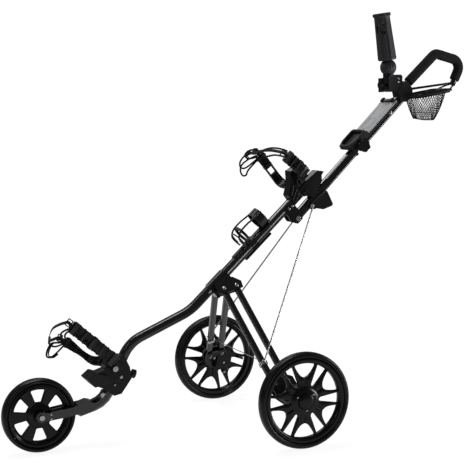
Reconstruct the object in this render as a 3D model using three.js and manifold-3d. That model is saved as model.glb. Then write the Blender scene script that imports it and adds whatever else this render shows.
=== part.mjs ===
// Folding three-wheel push cart for a golf bag.
// Millimetres, +Z up. +X points from the front wheel to the handle, +Y to the right-hand wheel.
// The origin is on the ground under the middle of the cart's length.
import * as THREE from 'three';
import { mergeVertices } from 'three/addons/utils/BufferGeometryUtils.js';
import Module from 'manifold-3d';

const wasm = await Module();
wasm.setup();

// ---------------------------------------------------------------- driving dimensions
const AXLE_X = 21.3; // rear axle, ahead of it the cart reaches as far as the handle reaches behind
const GAP = 0.3; // clearance between touching pieces

const REAR_R = 146; // 11.5 in rear wheel
const REAR_TYRE_W = 36;
const REAR_BEAD_R = 129;
const REAR_Y = 350; // half of the 700 mm track
const FRONT_R = 113; // 9 in front wheel
const FRONT_TYRE_W = 42;
const FRONT_BEAD_R = 98;
const FRONT_X = -719;

const TUBE_W = 30;
const TUBE_H = 28;
const TUBE_WALL = 1.8;
const TUBE_SLOPE = THREE.MathUtils.degToRad(41.6);
const TUBE_Z0 = 579; // height of the main tube's axis above the rear axle
const LOWER_TUBE_END = 240;

const UPPER_SLOPE = THREE.MathUtils.degToRad(43.2);
const FOLD_S = 163; // fold pivot, along the main tube's axis
const FOLD_OFF = -48; // and under it
const UPPER_TUBE_END = 290;
const HANDLE_U = 316; // handle hinge, along the upper tube's axis
const HANDLE_W = 10; // and above it

const LEG_W = 20;
const LEG_T = 15;
const LEG_TOP = [-117, 32, 444]; // front leg's upper pivot, right side
const LEG_FOOT = [-55, 267, 177];
const LEG_PITCH = [42, 0, 7]; // from the front leg to the rear leg

const STEEL = 0xc9cbcd;
const BLACK = 0x17181a;
const PAINT = 0x0c0d0f;

// ---------------------------------------------------------------- helpers
const v3 = (x, y, z) => new THREE.Vector3(x, y, z);

function toSolid(geometry) {
  const bare = geometry.clone();
  bare.deleteAttribute('normal');
  bare.deleteAttribute('uv');
  const merged = mergeVertices(bare, 1e-4);
  return new wasm.Manifold(new wasm.Mesh({
    numProp: 3,
    vertProperties: new Float32Array(merged.attributes.position.array),
    triVerts: new Uint32Array(merged.index.array),
  }));
}

function toGeometry(solid) {
  const mesh = solid.getMesh();
  const geometry = new THREE.BufferGeometry();
  geometry.setAttribute('position', new THREE.BufferAttribute(mesh.vertProperties, 3));
  geometry.setIndex(new THREE.BufferAttribute(mesh.triVerts, 1));
  return geometry;
}

const join = (...parts) => toGeometry(parts.map(toSolid).reduce((a, b) => a.add(b)));
const cut = (body, ...tools) => (
  toGeometry(tools.map(toSolid).reduce((a, b) => a.subtract(b), toSolid(body)))
);

function polygon(points) {
  return new THREE.Shape(points.map(([x, y]) => new THREE.Vector2(x, y)));
}

// A flat outline in X and Z with thickness along Y, from y0 to y1.
function slab(points, y0, y1, holes = []) {
  const shape = polygon(points);
  shape.holes = holes.map(polygon);
  const geometry = new THREE.ExtrudeGeometry(shape, { depth: y1 - y0, bevelEnabled: false });
  return geometry.rotateX(Math.PI / 2).translate(0, y1, 0);
}

// The same with the outline in X and Y and the thickness along Z, from z0 to z1.
function plate(points, z0, z1, holes = []) {
  const shape = polygon(points);
  shape.holes = holes.map(polygon);
  return new THREE.ExtrudeGeometry(shape, { depth: z1 - z0, bevelEnabled: false }).translate(0, 0, z0);
}

function box(x0, x1, y0, y1, z0, z1) {
  return new THREE.BoxGeometry(x1 - x0, y1 - y0, z1 - z0)
    .translate((x0 + x1) / 2, (y0 + y1) / 2, (z0 + z1) / 2);
}

// A closed ring or disc turned about Y; profile points are [radius, y].
function turned(profile, segments) {
  return new THREE.LatheGeometry(profile.map(([r, y]) => new THREE.Vector2(r, y)), segments);
}

// A cylinder centred on a point, its axis along dir.
function rod(center, dir, radius, length, segments = 12) {
  const geometry = new THREE.CylinderGeometry(radius, radius, length, segments);
  const turn = new THREE.Quaternion().setFromUnitVectors(v3(0, 1, 0), dir.clone().normalize());
  return geometry.applyQuaternion(turn).translate(...center);
}

// A path through given stations, swept with one step from each station to the next.
class Stations extends THREE.Curve {
  constructor(points) {
    super();
    this.points = points;
  }

  getPoint(t, target = new THREE.Vector3()) {
    const place = t * (this.points.length - 1);
    const i = Math.min(Math.floor(place + 1e-9), this.points.length - 2);
    return target.lerpVectors(this.points[i], this.points[i + 1], place - i);
  }

  getPointAt(t, target) {
    return this.getPoint(t, target);
  }

  getTangentAt(t, target = new THREE.Vector3()) {
    const i = Math.round(t * (this.points.length - 1));
    const before = this.points[Math.max(i - 1, 0)];
    const here = this.points[i];
    const after = this.points[Math.min(i + 1, this.points.length - 1)];
    const ahead = after.clone().sub(here).normalize();
    const behind = here.clone().sub(before).normalize();
    return target.copy(ahead).add(behind).normalize();
  }
}

// Stations along straight runs between corners, each corner rounded with its own radius.
function bend(corners, radii, steps = 4) {
  const points = [v3(...corners[0])];
  for (let i = 1; i < corners.length - 1; i += 1) {
    const here = v3(...corners[i]);
    const back = v3(...corners[i - 1]).sub(here).normalize();
    const on = v3(...corners[i + 1]).sub(here).normalize();
    const half = back.angleTo(on) / 2;
    const run = radii[i - 1] / Math.tan(half);
    const bisector = back.clone().add(on).normalize();
    const middle = here.clone().addScaledVector(bisector, radii[i - 1] / Math.sin(half));
    const first = here.clone().addScaledVector(back, run).sub(middle);
    const last = here.clone().addScaledVector(on, run).sub(middle);
    const sweep = first.angleTo(last);
    for (let k = 0; k <= steps; k += 1) {
      const a = Math.sin(sweep * (1 - k / steps)) / Math.sin(sweep);
      const b = Math.sin(sweep * (k / steps)) / Math.sin(sweep);
      points.push(middle.clone().addScaledVector(first, a).addScaledVector(last, b));
    }
  }
  points.push(v3(...corners[corners.length - 1]));
  return points;
}

function roundRect(w, h, r, steps = 2) {
  const points = [];
  [[1, 1, 0], [-1, 1, 90], [-1, -1, 180], [1, -1, 270]].forEach(([sx, sy, start]) => {
    for (let k = 0; k <= steps; k += 1) {
      const a = THREE.MathUtils.degToRad(start + (90 * k) / steps);
      points.push([sx * (w / 2 - r) + r * Math.cos(a), sy * (h / 2 - r) + r * Math.sin(a)]);
    }
  });
  return points;
}

function circle(r, segments) {
  return Array.from({ length: segments }, (_, k) => {
    const a = (2 * Math.PI * k) / segments;
    return [r * Math.cos(a), r * Math.sin(a)];
  });
}

function sweep(points, outer, inner) {
  const shape = polygon(outer);
  if (inner) shape.holes = [polygon(inner)];
  return new THREE.ExtrudeGeometry(shape, {
    steps: points.length - 1,
    bevelEnabled: false,
    extrudePath: new Stations(points),
  });
}

// A straight tube of the frame's section along X.
function straightTube(from, to) {
  const outer = roundRect(TUBE_H, TUBE_W, 8);
  const inner = roundRect(TUBE_H - 2 * TUBE_WALL, TUBE_W - 2 * TUBE_WALL, 8 - TUBE_WALL, 1);
  return plate(outer, from, to, [inner]).rotateY(Math.PI / 2);
}

// A plug that fits into such a tube.
function tubePlug(from, to) {
  const skin = 2 * (TUBE_WALL + GAP);
  return plate(roundRect(TUBE_H - skin, TUBE_W - skin, 8 - TUBE_WALL, 1), from, to).rotateY(Math.PI / 2);
}

// A bolt along dir with a round head at each end, the grip between the heads.
function bolt(center, dir, shank, grip, head, headHeight, segments = 12) {
  const n = dir.clone().normalize();
  const at = (d) => v3(...center).addScaledVector(n, d).toArray();
  return join(
    rod(center, n, shank, grip + 2 * headHeight, 8),
    rod(at(grip / 2 + headHeight / 2), n, head, headHeight, segments),
    rod(at(-grip / 2 - headHeight / 2), n, head, headHeight, segments),
  );
}

function place(parent, name, geometry, color, roughness, metalness) {
  const mesh = new THREE.Mesh(geometry, new THREE.MeshStandardMaterial({ color, roughness, metalness }));
  mesh.name = name;
  parent.add(mesh);
  return mesh;
}

const plastic = (parent, name, geometry) => place(parent, name, geometry, BLACK, 0.55, 0);
const painted = (parent, name, geometry) => place(parent, name, geometry, PAINT, 0.25, 0.4);
const steel = (parent, name, geometry) => place(parent, name, geometry, STEEL, 0.3, 1);

// ---------------------------------------------------------------- frames of reference
const cart = new THREE.Group();
cart.position.x = AXLE_X;

// Along the main tube: X follows its axis upwards, Z stands square on it.
const main = new THREE.Group();
main.position.z = TUBE_Z0;
main.rotation.y = -TUBE_SLOPE;
cart.add(main);

// Along the upper tube, from the fold pivot.
const upper = new THREE.Group();
upper.position.x = FOLD_S * Math.cos(TUBE_SLOPE) - FOLD_OFF * Math.sin(TUBE_SLOPE);
upper.position.z = TUBE_Z0 + FOLD_S * Math.sin(TUBE_SLOPE) + FOLD_OFF * Math.cos(TUBE_SLOPE);
upper.rotation.y = -UPPER_SLOPE;
cart.add(upper);

// A point of the cart seen from the upper tube's frame.
function inUpper([x, y, z]) {
  const dx = x - upper.position.x;
  const dz = z - upper.position.z;
  const c = Math.cos(UPPER_SLOPE);
  const s = Math.sin(UPPER_SLOPE);
  return [dx * c + dz * s, y, dz * c - dx * s];
}

// A point of the main tube's frame in the cart.
function fromMain([s, y, off]) {
  const c = Math.cos(TUBE_SLOPE);
  const n = Math.sin(TUBE_SLOPE);
  return [s * c - off * n, y, TUBE_Z0 + s * n + off * c];
}

// ---------------------------------------------------------------- lower frame
const tubeOuter = roundRect(TUBE_W, TUBE_H, 8);
const tubeInner = roundRect(TUBE_W - 2 * TUBE_WALL, TUBE_H - 2 * TUBE_WALL, 8 - TUBE_WALL, 1);

const lowerCorners = [
  [-600, 0, 109.8], [-515.1, 0, 130.9], [-423.6, 0, 303.1], [-219.3, 0, 384.2],
  fromMain([LOWER_TUBE_END, 0, 0]),
];
const lowerPath = bend(lowerCorners, [70, 110, 180], 3);
const lowerTubeRoom = () => sweep(lowerPath, roundRect(TUBE_W + 2 * GAP, TUBE_H + 2 * GAP, 8 + GAP));
painted(cart, 'lower_tube', sweep(lowerPath, tubeOuter, tubeInner));

const socketCorners = [[-596, 0, 110.8], [-515.1, 0, 130.9], [-500, 0, 159.3]];

// Front fork: a socket round the tube's front end, and a yoke whose two slim arms reach the axle.
function frontFork() {
  const socket = sweep(bend(socketCorners, [70], 3), roundRect(37, 35, 9, 1));
  const bridge = slab([
    [-599, 103], [-566, 110], [-549, 117], [-552, 136], [-566, 140], [-599, 131],
  ], -33, 33);
  const armOutline = [
    [-719, 101], [-690, 99], [-640, 103], [-581, 110], [-564, 116], [-562, 130], [-573, 136],
    [-640, 129], [-690, 123], [-719, 125],
  ];
  const arms = [slab(armOutline, -33, -26), slab(armOutline, 26, 33)];
  const bosses = [-1, 1].map((side) => rod([FRONT_X, side * 34, FRONT_R], v3(0, 1, 0), 16, 8, 16));
  const shell = join(socket, bridge, ...arms, ...bosses);
  const wheelRoom = rod([FRONT_X, 0, FRONT_R], v3(0, 1, 0), FRONT_R + 4, 52, 32);
  const axleHole = rod([FRONT_X, 0, FRONT_R], v3(0, 1, 0), 5 + GAP, 90, 12);
  return cut(shell, wheelRoom, axleHole, lowerTubeRoom());
}
painted(cart, 'front_fork', frontFork());
steel(cart, 'front_axle', bolt([FRONT_X, 0, FRONT_R], v3(0, 1, 0), 5, 76.6, 9, 7, 6));

// ---------------------------------------------------------------- wheels
// A window of a rim, from [radius, half its angle] stations that run outwards.
function sectorWindow(mid, stations) {
  const at = ([radius, half], sign) => {
    const a = THREE.MathUtils.degToRad(mid + sign * half);
    return [radius * Math.cos(a), radius * Math.sin(a)];
  };
  const outer = stations[stations.length - 1];
  return [
    ...stations.map((station) => at(station, -1)), at([outer[0], 0], 1),
    ...stations.map((station) => at(station, 1)).reverse(),
  ];
}

const RIM_SEGMENTS = 36;

function tyre(radius, width, bead) {
  const h = width / 2;
  const rise = radius - bead;
  return turned([
    [bead, -h * 0.72], [bead + rise * 0.35, -h], [radius - rise * 0.3, -h * 0.93], [radius - 2, -h * 0.55],
    [radius, 0], [radius - 2, h * 0.55], [radius - rise * 0.3, h * 0.93], [bead + rise * 0.35, h],
    [bead, h * 0.72], [bead, -h * 0.72],
  ], RIM_SEGMENTS);
}

// Rear rim: six pairs of slim spokes, with a long window in each pair and a pointed one between pairs.
function rearRim(side, first) {
  const windows = [];
  for (let k = 0; k < 6; k += 1) {
    const mid = first + 60 * k;
    windows.push(sectorWindow(mid, [[50, 7], [111, 8.2]]));
    windows.push(sectorWindow(mid + 30, [[68.5, 1], [74, 7.7], [84, 13.2], [112, 18.3]]));
  }
  const disc = slab(circle(REAR_BEAD_R - 8, RIM_SEGMENTS), -7, 7, windows);
  const bead = REAR_BEAD_R - GAP;
  const barrel = turned([
    [bead, -13], [bead, 13], [117, 15], [113, 10], [113, -10], [117, -15], [bead, -13],
  ], RIM_SEGMENTS);
  const hub = turned([
    [0, -22], [24, -22], [30, -7], [46, -5], [46, 7], [36, 13], [23, 14], [22, 18], [12, 20], [0, 20.5],
  ], 20);
  const axleHole = rod([0, side * -10, 0], v3(0, 1, 0), 6 + GAP, 44, 12);
  return cut(join(disc, barrel, side > 0 ? hub : hub.clone().rotateX(Math.PI)), axleHole);
}

function frontRim() {
  const windows = Array.from({ length: 6 }, (_, k) => sectorWindow(30 + 60 * k, [[41, 14], [79, 17.5]]));
  const disc = slab(circle(88, RIM_SEGMENTS), -9, 9, windows);
  const bead = FRONT_BEAD_R - GAP;
  const barrel = turned([
    [bead, -15], [bead, 15], [88, 17], [83, 9], [83, -9], [88, -17], [bead, -15],
  ], RIM_SEGMENTS);
  const hub = turned([[0, -25], [17, -25], [20, -12], [36, -9], [36, 9], [20, 12], [17, 25], [0, 25]], 20);
  return cut(join(disc, barrel, hub), rod([0, 0, 0], v3(0, 1, 0), 5 + GAP, 60, 12));
}

function wheel(name, rim, tyreRing, x, y, z) {
  const group = new THREE.Group();
  group.position.set(x, y, z);
  cart.add(group);
  plastic(group, `${name}_rim`, rim);
  place(group, `${name}_tyre`, tyreRing, 0x202124, 0.8, 0);
}

wheel('front_wheel', frontRim(), tyre(FRONT_R, FRONT_TYRE_W, FRONT_BEAD_R), FRONT_X, 0, FRONT_R);
[['left', -1, 2], ['right', 1, 14]].forEach(([name, side, first]) => {
  const ring = tyre(REAR_R, REAR_TYRE_W, REAR_BEAD_R);
  wheel(`rear_wheel_${name}`, rearRim(side, first), ring, 0, side * REAR_Y, REAR_R);
});

// ---------------------------------------------------------------- leg bracket and rear legs
// A frame at the front leg's upper pivot: X runs to the rear leg, Z up the leg, and Y is the
// pivots' axis, outwards on the right and inwards on the left.
function legFrame(side) {
  const up = v3(LEG_TOP[0], side * LEG_TOP[1], LEG_TOP[2])
    .sub(v3(LEG_FOOT[0], side * LEG_FOOT[1], LEG_FOOT[2])).normalize();
  const y = new THREE.Vector3().crossVectors(up, v3(...LEG_PITCH)).normalize();
  const x = new THREE.Vector3().crossVectors(y, up);
  const group = new THREE.Group();
  group.position.set(LEG_TOP[0], side * LEG_TOP[1], LEG_TOP[2]);
  group.quaternion.setFromRotationMatrix(new THREE.Matrix4().makeBasis(x, y, up));
  group.updateMatrix();
  cart.add(group);
  const pitch = v3(...LEG_PITCH);
  return { group, rear: v3(pitch.dot(x), 0, pitch.dot(up)) };
}

const LEG_LENGTH = v3(...LEG_FOOT).distanceTo(v3(...LEG_TOP));
const LEG_EYE = 11; // a leg tube ends this far past its pivot
const SHEET = 3;
const LEG_FACE = LEG_T / 2 + GAP; // from the middle of a leg to the plates beside it

function leg(top) {
  const section = [roundRect(LEG_W, LEG_T, 4), roundRect(LEG_W - 3, LEG_T - 3, 2.5)];
  const tube = plate(section[0], -LEG_LENGTH - LEG_EYE, LEG_EYE, [section[1]]);
  const holes = [0, -LEG_LENGTH].map((z) => rod([top.x, 0, top.z + z], v3(0, 1, 0), 3 + GAP, 30, 10));
  return cut(tube.translate(top.x, 0, top.z), ...holes);
}

// A band round the leg tube that the tie rod is hooked to.
function rodLug(z) {
  return cut(
    box(-LEG_W / 2 - 3, LEG_W / 2 + 3, -LEG_T / 2 - 3, LEG_T / 2 + 3, z - 6, z + 6),
    box(-LEG_W / 2 + 1, LEG_W / 2 - 1, -LEG_T / 2 + 1, LEG_T / 2 - 1, z - 9, z + 9),
  );
}

// A plate square to the pivots' axis, from one distance to another on the outer side of the legs.
function legPlate(side, outline, from, to) {
  return side > 0 ? slab(outline, from, to) : slab(outline, -to, -from);
}

// Where a leg turns about its pivot: a block as deep as the leg, from its middle plane to the plates.
function legRoom(at, above, reach) {
  return box(at.x - reach, at.x + reach, -LEG_FACE, LEG_FACE, at.z - reach, at.z + above);
}

const EAR = [[12, 150], [36, 159], [39, 167], [34, 173], [8, 176]]; // carries the brake pedal
const WING = [[-24, -13], [-24, 24], [-6, 34], [22, 36], [44, 30], [64, 8], [60, -15], [20, -17], [-12, -16]];
const INNER_WING = [[-14, -13], [-16, 15], [58, 15], [56, -14]];
const CHEEK_PLATE = [[-15, -30], [-17, 14], [6, 19], [50, 17], [61, 8], [64, -60], [30, -82], [2, -60]];
const WEB = [[-13, -28], [58, -30], [64, -60], [30, -82], [2, -60]];
const RIB = [[-34, 128], [-22, 176], [8, 182], [26, 160], [20, 132], [-6, 122]];
const ROD_RADIUS = 2;
const ROD_TOP = [204, 29, 688];

// Lower pivots: the knuckle holds the feet of both legs and carries the axle out to the wheel.
function knuckle(side, { group, rear }) {
  const lowered = (outline) => outline.map(([x, z]) => [x, z - LEG_LENGTH]);
  const body = join(
    legPlate(side, lowered(CHEEK_PLATE), LEG_FACE, LEG_FACE + 5),
    legPlate(side, lowered(CHEEK_PLATE), -LEG_FACE - 5, -LEG_FACE),
    legPlate(side, lowered(WEB), -LEG_FACE - 1, LEG_FACE + 1),
  ).applyMatrix4(group.matrix);
  const outwards = (near, far) => (side > 0 ? [near, far] : [-far, -near]);
  const boss = rod([0, side * 306, REAR_R], v3(0, 1, 0), 21, 42, 16);
  const rib = slab(RIB, ...outwards(262, 318));
  const ears = side > 0 ? [-1, 1].map((end) => slab(EAR, 290 + end * 15 - 1.7, 290 + end * 15 + 1.7)) : [];
  const axleHole = rod([0, side * 306, REAR_R], v3(0, 1, 0), 6, 50, 12);
  const wheelSide = box(-90, 60, ...outwards(327.3, 345), 90, 220);
  const feet = [v3(0, 0, -LEG_LENGTH), v3(rear.x, 0, rear.z - LEG_LENGTH)];
  const rooms = feet.map((at) => legRoom(at, 60, 15.4).applyMatrix4(group.matrix));
  const studs = feet.map((at) => (
    bolt(at.toArray(), v3(0, 1, 0), 3, 2 * LEG_FACE + 9, 6.5, 4, 10).applyMatrix4(group.matrix)
  ));
  return join(cut(join(body, boss, rib, ...ears), axleHole, wheelSide, ...rooms), ...studs);
}

// Tie rod: from a lug on the front leg up to the fold joint, with an eye at its lower end.
function tieRod(side, group, seat) {
  const outward = v3(0, side, 0).transformDirection(group.matrix);
  const low = seat.addScaledVector(outward, LEG_FACE + 6.5);
  const along = v3(ROD_TOP[0], side * ROD_TOP[1], ROD_TOP[2]).sub(low);
  const length = along.length() - 7;
  const middle = low.clone().addScaledVector(along.normalize(), length / 2);
  return join(rod(middle.toArray(), along, ROD_RADIUS, length, 8), rod(low.toArray(), outward, 4, 5, 10));
}

const frames = {};
const wings = [];
[['left', -1], ['right', 1]].forEach(([name, side]) => {
  frames[name] = legFrame(side);
  const { group, rear } = frames[name];
  const lugZ = -0.775 * LEG_LENGTH;
  painted(group, `leg_front_${name}`, join(leg(v3(0, 0, 0)), rodLug(lugZ)));
  painted(group, `leg_rear_${name}`, leg(rear));
  const plates = [
    legPlate(side, WING, LEG_FACE, LEG_FACE + SHEET),
    legPlate(side, INNER_WING, -LEG_FACE - SHEET, -LEG_FACE),
  ];
  const pins = [v3(0, 0, 0), rear].map((at) => rod(at.toArray(), v3(0, 1, 0), 3 + GAP, 60, 8));
  plates.forEach((wing) => wings.push(cut(wing, ...pins).applyMatrix4(group.matrix)));
  plastic(cart, `knuckle_${name}`, knuckle(side, frames[name]));
  steel(cart, `axle_${name}`, rod([0, side * 322, REAR_R], v3(0, 1, 0), 6 - GAP, 74, 12));
  [['front', v3(0, 0, 0)], ['rear', rear]].forEach(([end, at]) => {
    const between = 2 * (LEG_FACE + SHEET + GAP);
    steel(group, `leg_bolt_${end}_${name}`, bolt(at.toArray(), v3(0, 1, 0), 3, between, 6.5, 3.5, 10));
  });
  steel(cart, `tie_rod_${name}`, tieRod(side, group, v3(0, 0, lugZ).applyMatrix4(group.matrix)));
});

// Parking brake: a foot pedal hinged between the ears of the right knuckle.
plastic(cart, 'brake_pedal', join(
  rod([31, 290, 166], v3(0, 1, 0), 7, 26, 12),
  slab([[33, 173], [64, 155], [60, 147], [30, 159]], 282, 298),
  slab([[56, 159], [72, 151], [69, 144], [53, 151]], 268, 312),
));

// Saddle: a channel clamped under the main tube that carries both pairs of wings.
function legBracket() {
  const tubeRoom = box(-240, -90, -TUBE_W / 2 - GAP, TUBE_W / 2 + GAP, -TUBE_H / 2 - GAP, 40);
  const block = cut(box(-204, -128, -18.3, 18.3, -36, 6), tubeRoom).applyMatrix4(main.matrix);
  const headRooms = [];
  Object.values(frames).forEach(({ group, rear }) => {
    [v3(0, 0, 0), rear].forEach((at) => {
      headRooms.push(box(at.x - 17, at.x + 17, -LEG_FACE, LEG_FACE, at.z - 30, at.z + 17)
        .applyMatrix4(group.matrix));
      const near = LEG_FACE + SHEET;
      [[near, near + 9], [-near - 9, -near]].forEach(([from, to]) => {
        headRooms.push(box(at.x - 7.5, at.x + 7.5, from, to, at.z - 7.5, at.z + 7.5)
          .applyMatrix4(group.matrix));
      });
    });
  });
  return cut(join(block, ...wings), ...headRooms, tubeRoom.clone().applyMatrix4(main.matrix));
}
main.updateMatrix();
painted(cart, 'leg_bracket', legBracket());

// Wire between the two front legs, level with the tie rods' lower ends.
const CABLE = [-62, 202.5, 240];
steel(cart, 'cross_cable', rod([CABLE[0], 0, CABLE[2]], v3(0, 1, 0), 1.3, 2 * CABLE[1], 8));

const ringAt = (points) => points.map(([x, y]) => [x - 168, y]);
place(main, 'bracket_ring', plate(
  ringAt(roundRect(76, 20, 9.5, 3)), TUBE_H / 2 + GAP, TUBE_H / 2 + 3.3, [ringAt(roundRect(62, 8, 3.8, 3))],
), 0x9a9da0, 0.35, 0.8);

// ---------------------------------------------------------------- lower bag bracket
const lowerScrew = bolt([-453, 0, 198], v3(0, 1, 0), 3, 45, 7, 4, 12);
const lowerBody = slab([
  [-514, 172], [-486, 148], [-462, 152], [-428, 196], [-432, 232], [-448, 268], [-484, 274], [-510, 244],
], -23, 23);
const shelf = slab([[-505, 214], [-549, 228.4], [-573, 210], [-549, 184], [-505, 190]], -36, 36);
const shelfNeck = slab([[-514, 172], [-545, 186], [-545, 222], [-500, 236]], -23, 23);
const forkCorners = [socketCorners[0], socketCorners[1], [-499.6, 0, 160]];
const forkRoom = sweep(bend(forkCorners, [70], 3), roundRect(38, 36, 9, 1));
const knobAxis = v3(0.93, 0, -0.36);
const BRACKET_BOLT = [-590, 0, 62.7]; // in the main tube's frame
plastic(cart, 'lower_bag_bracket', cut(
  join(lowerBody, shelf, shelfNeck, lowerScrew), lowerTubeRoom(), forkRoom,
  rod(fromMain(BRACKET_BOLT), v3(0, 1, 0), 3 + GAP, 70, 10), rod([-429, 0, 210.3], knobAxis, 4 + GAP, 30, 10),
));

// An arm of a bag cradle: it starts flat on the side of its block, goes out and turns up beside the bag.
function arm(points, width, thickness) {
  return sweep(bend(points, [9, 26], 3), roundRect(thickness, width, 3, 1));
}

const ARM_T = 9;
const lowerBolt = rod(BRACKET_BOLT, v3(0, 1, 0), 3 + GAP, 90, 10);
plastic(main, 'lower_arm_left', cut(
  arm([[-588, -27.9, 44], [-588, -27.9, 84], [-578, -90, 98], [-597, -100, 282]], 34, ARM_T), lowerBolt,
));
plastic(main, 'lower_arm_right', cut(
  arm([[-590, 27.9, 44], [-590, 27.9, 80], [-614, 88, 92], [-628, 100, 198]], 30, ARM_T), lowerBolt,
));
steel(main, 'bracket_bolt', bolt(BRACKET_BOLT, v3(0, 1, 0), 3, 66.6, 9, 5, 12));

// Clamp knob at the back of the bracket.
plastic(cart, 'bracket_knob', join(
  rod([-415, 0, 204.9], knobAxis, 14, 11, 14),
  rod([-426, 0, 209.1], knobAxis, 4, 18, 10),
));

// ---------------------------------------------------------------- upper bag bracket
const grip = TUBE_H / 2 + GAP;
const upperBlock = slab([
  [184, grip - 22], [222, grip - 22], [224, grip], [232, 22], [270, 25], [286, 50], [272, 76], [246, 82],
  [222, 52], [188, 30],
], -22, 22);
const upperClampRoom = box(150, 300, -TUBE_W / 2 - GAP, TUBE_W / 2 + GAP, -40, grip);
plastic(main, 'upper_bag_bracket', cut(upperBlock, upperClampRoom));
plastic(main, 'upper_arm_left', arm(
  [[262, -26.8, 30], [262, -26.8, 56], [258, -92, 68], [246, -100, 158]], 34, ARM_T,
));
plastic(main, 'upper_arm_right', arm(
  [[236, 26.8, 56], [236, 26.8, 34], [228, 92, 28], [240, 100, 154]], 30, ARM_T,
));

// ---------------------------------------------------------------- bag straps
// Elastic straps from tip to tip of each pair of arms; the bag lies under them.
function strap(points) {
  return sweep(bend(points, points.slice(2).map(() => 9), 2), circle(4, 8));
}

place(main, 'lower_strap', strap([
  [-597, -100, 282.4], [-599, -101, 302], [-640, -20, 296], [-668, 40, 255], [-630.6, 102.2, 219],
  [-628.1, 100, 198.4],
]), 0x141517, 0.9, 0);
place(main, 'upper_strap', strap([
  [246, -100, 158.4], [243.4, -101.8, 178.3], [232, -30, 206], [206, 40, 208], [196, 84, 200],
  [241.6, 101.3, 176], [240, 100, 154.4],
]), 0x141517, 0.9, 0);

// ---------------------------------------------------------------- fold joint
const CHEEK = TUBE_W / 2 + GAP; // inner face of whatever sits beside a tube
const foldPlate = [[146, 6], [138, -40], [151, -61], [174, -61], [183, -47], [184, -6], [182, 8]];
[['left', -1], ['right', 1]].forEach(([name, side]) => {
  const plateAt = slab(foldPlate, ...(side > 0 ? [CHEEK, CHEEK + 4] : [-CHEEK - 4, -CHEEK]));
  const pivot = rod([FOLD_S, 0, FOLD_OFF], v3(0, 1, 0), 5 + GAP, 60, 12);
  const screws = [[160.5, -3.5], [175, -3]].map(([x, z]) => (
    rod([x, side * (CHEEK + 5), z], v3(0, 1, 0), 4.5, 4, 10)
  ));
  painted(main, `fold_plate_${name}`, cut(join(plateAt, ...screws), pivot));
});
steel(main, 'fold_pivot_bolt', bolt([FOLD_S, 0, FOLD_OFF], v3(0, 1, 0), 5, 2 * CHEEK + 8.6, 8.5, 4, 12));

// Housing on the main tube's end; the upper tube closes up into its open underside.
function foldHousing() {
  const outline = [
    [226, -13], [228, 15], [262, 20], [300, 17], [318, 15], [332, -3], [318, -6], [306, -21], [262, -34],
    [246, -38], [240, -20],
  ];
  const shell = slab(outline, -CHEEK - 4, CHEEK + 4);
  const screws = [[233, -2], [243, -2]].map(([x, z]) => rod([x, 0, z], v3(0, 1, 0), 4.5, 2 * CHEEK + 13, 10));
  const socket = box(200, LOWER_TUBE_END + GAP, -CHEEK, CHEEK, -TUBE_H / 2 - GAP, TUBE_H / 2 + GAP);
  return cut(join(shell, ...screws), socket, upperTubeRoom());
}

// The upper tube's room in the main tube's frame, open on the side that it folds away to.
function upperTubeRoom() {
  const room = box(-60, 400, -CHEEK, CHEEK, -90, TUBE_H / 2 + GAP);
  upper.updateMatrix();
  return room.applyMatrix4(upper.matrix).applyMatrix4(main.matrix.clone().invert());
}
plastic(main, 'fold_housing', foldHousing());

const pinHole = (u, w, r) => rod([u, 0, w], v3(0, 1, 0), r + GAP, 80, 12);
const ROD_PIN = [62, -8];
painted(upper, 'upper_tube', cut(
  straightTube(-12, UPPER_TUBE_END),
  pinHole(0, 0, 5), pinHole(...ROD_PIN, 4),
));
steel(upper, 'rod_pin', bolt([ROD_PIN[0], 0, ROD_PIN[1]], v3(0, 1, 0), 4, 2 * CHEEK + 8.6, 7, 3, 10));

function latchLever() {
  const body = slab([
    [58, -20], [68, -26], [82, -46], [112, -61], [119, -59], [133, -17], [120, -grip], [64.5, -grip],
  ], -19.3, 19.3);
  const cheek = [[52, -14], [52, -3], [66, 1], [128, -5], [134, -14], [118, -48], [60, -22]];
  const cheeks = [slab(cheek, -CHEEK - 4, -CHEEK), slab(cheek, CHEEK, CHEEK + 4)];
  const tubeRoom = box(0, 200, -CHEEK, CHEEK, -grip, 30);
  return cut(join(body, ...cheeks), pinHole(...ROD_PIN, 4), tubeRoom);
}
plastic(upper, 'latch_lever', latchLever());

// ---------------------------------------------------------------- handle hinge and console
const tongue = join(
  slab(circle(13, 20).map(([x, z]) => [x + HANDLE_U, z + HANDLE_W]), -6, 6),
  slab([
    [UPPER_TUBE_END + GAP, -14], [UPPER_TUBE_END + GAP, 14], [HANDLE_U, 23], [HANDLE_U + 9, 1], [300, -14],
  ], -6, 6),
  slab([[UPPER_TUBE_END + GAP, -14], [UPPER_TUBE_END + GAP, 14], [300, 14], [300, -14]], -15, 15),
  tubePlug(262, 295),
);
plastic(upper, 'handle_hinge_lower', cut(tongue, pinHole(HANDLE_U, HANDLE_W, 4)));

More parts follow.
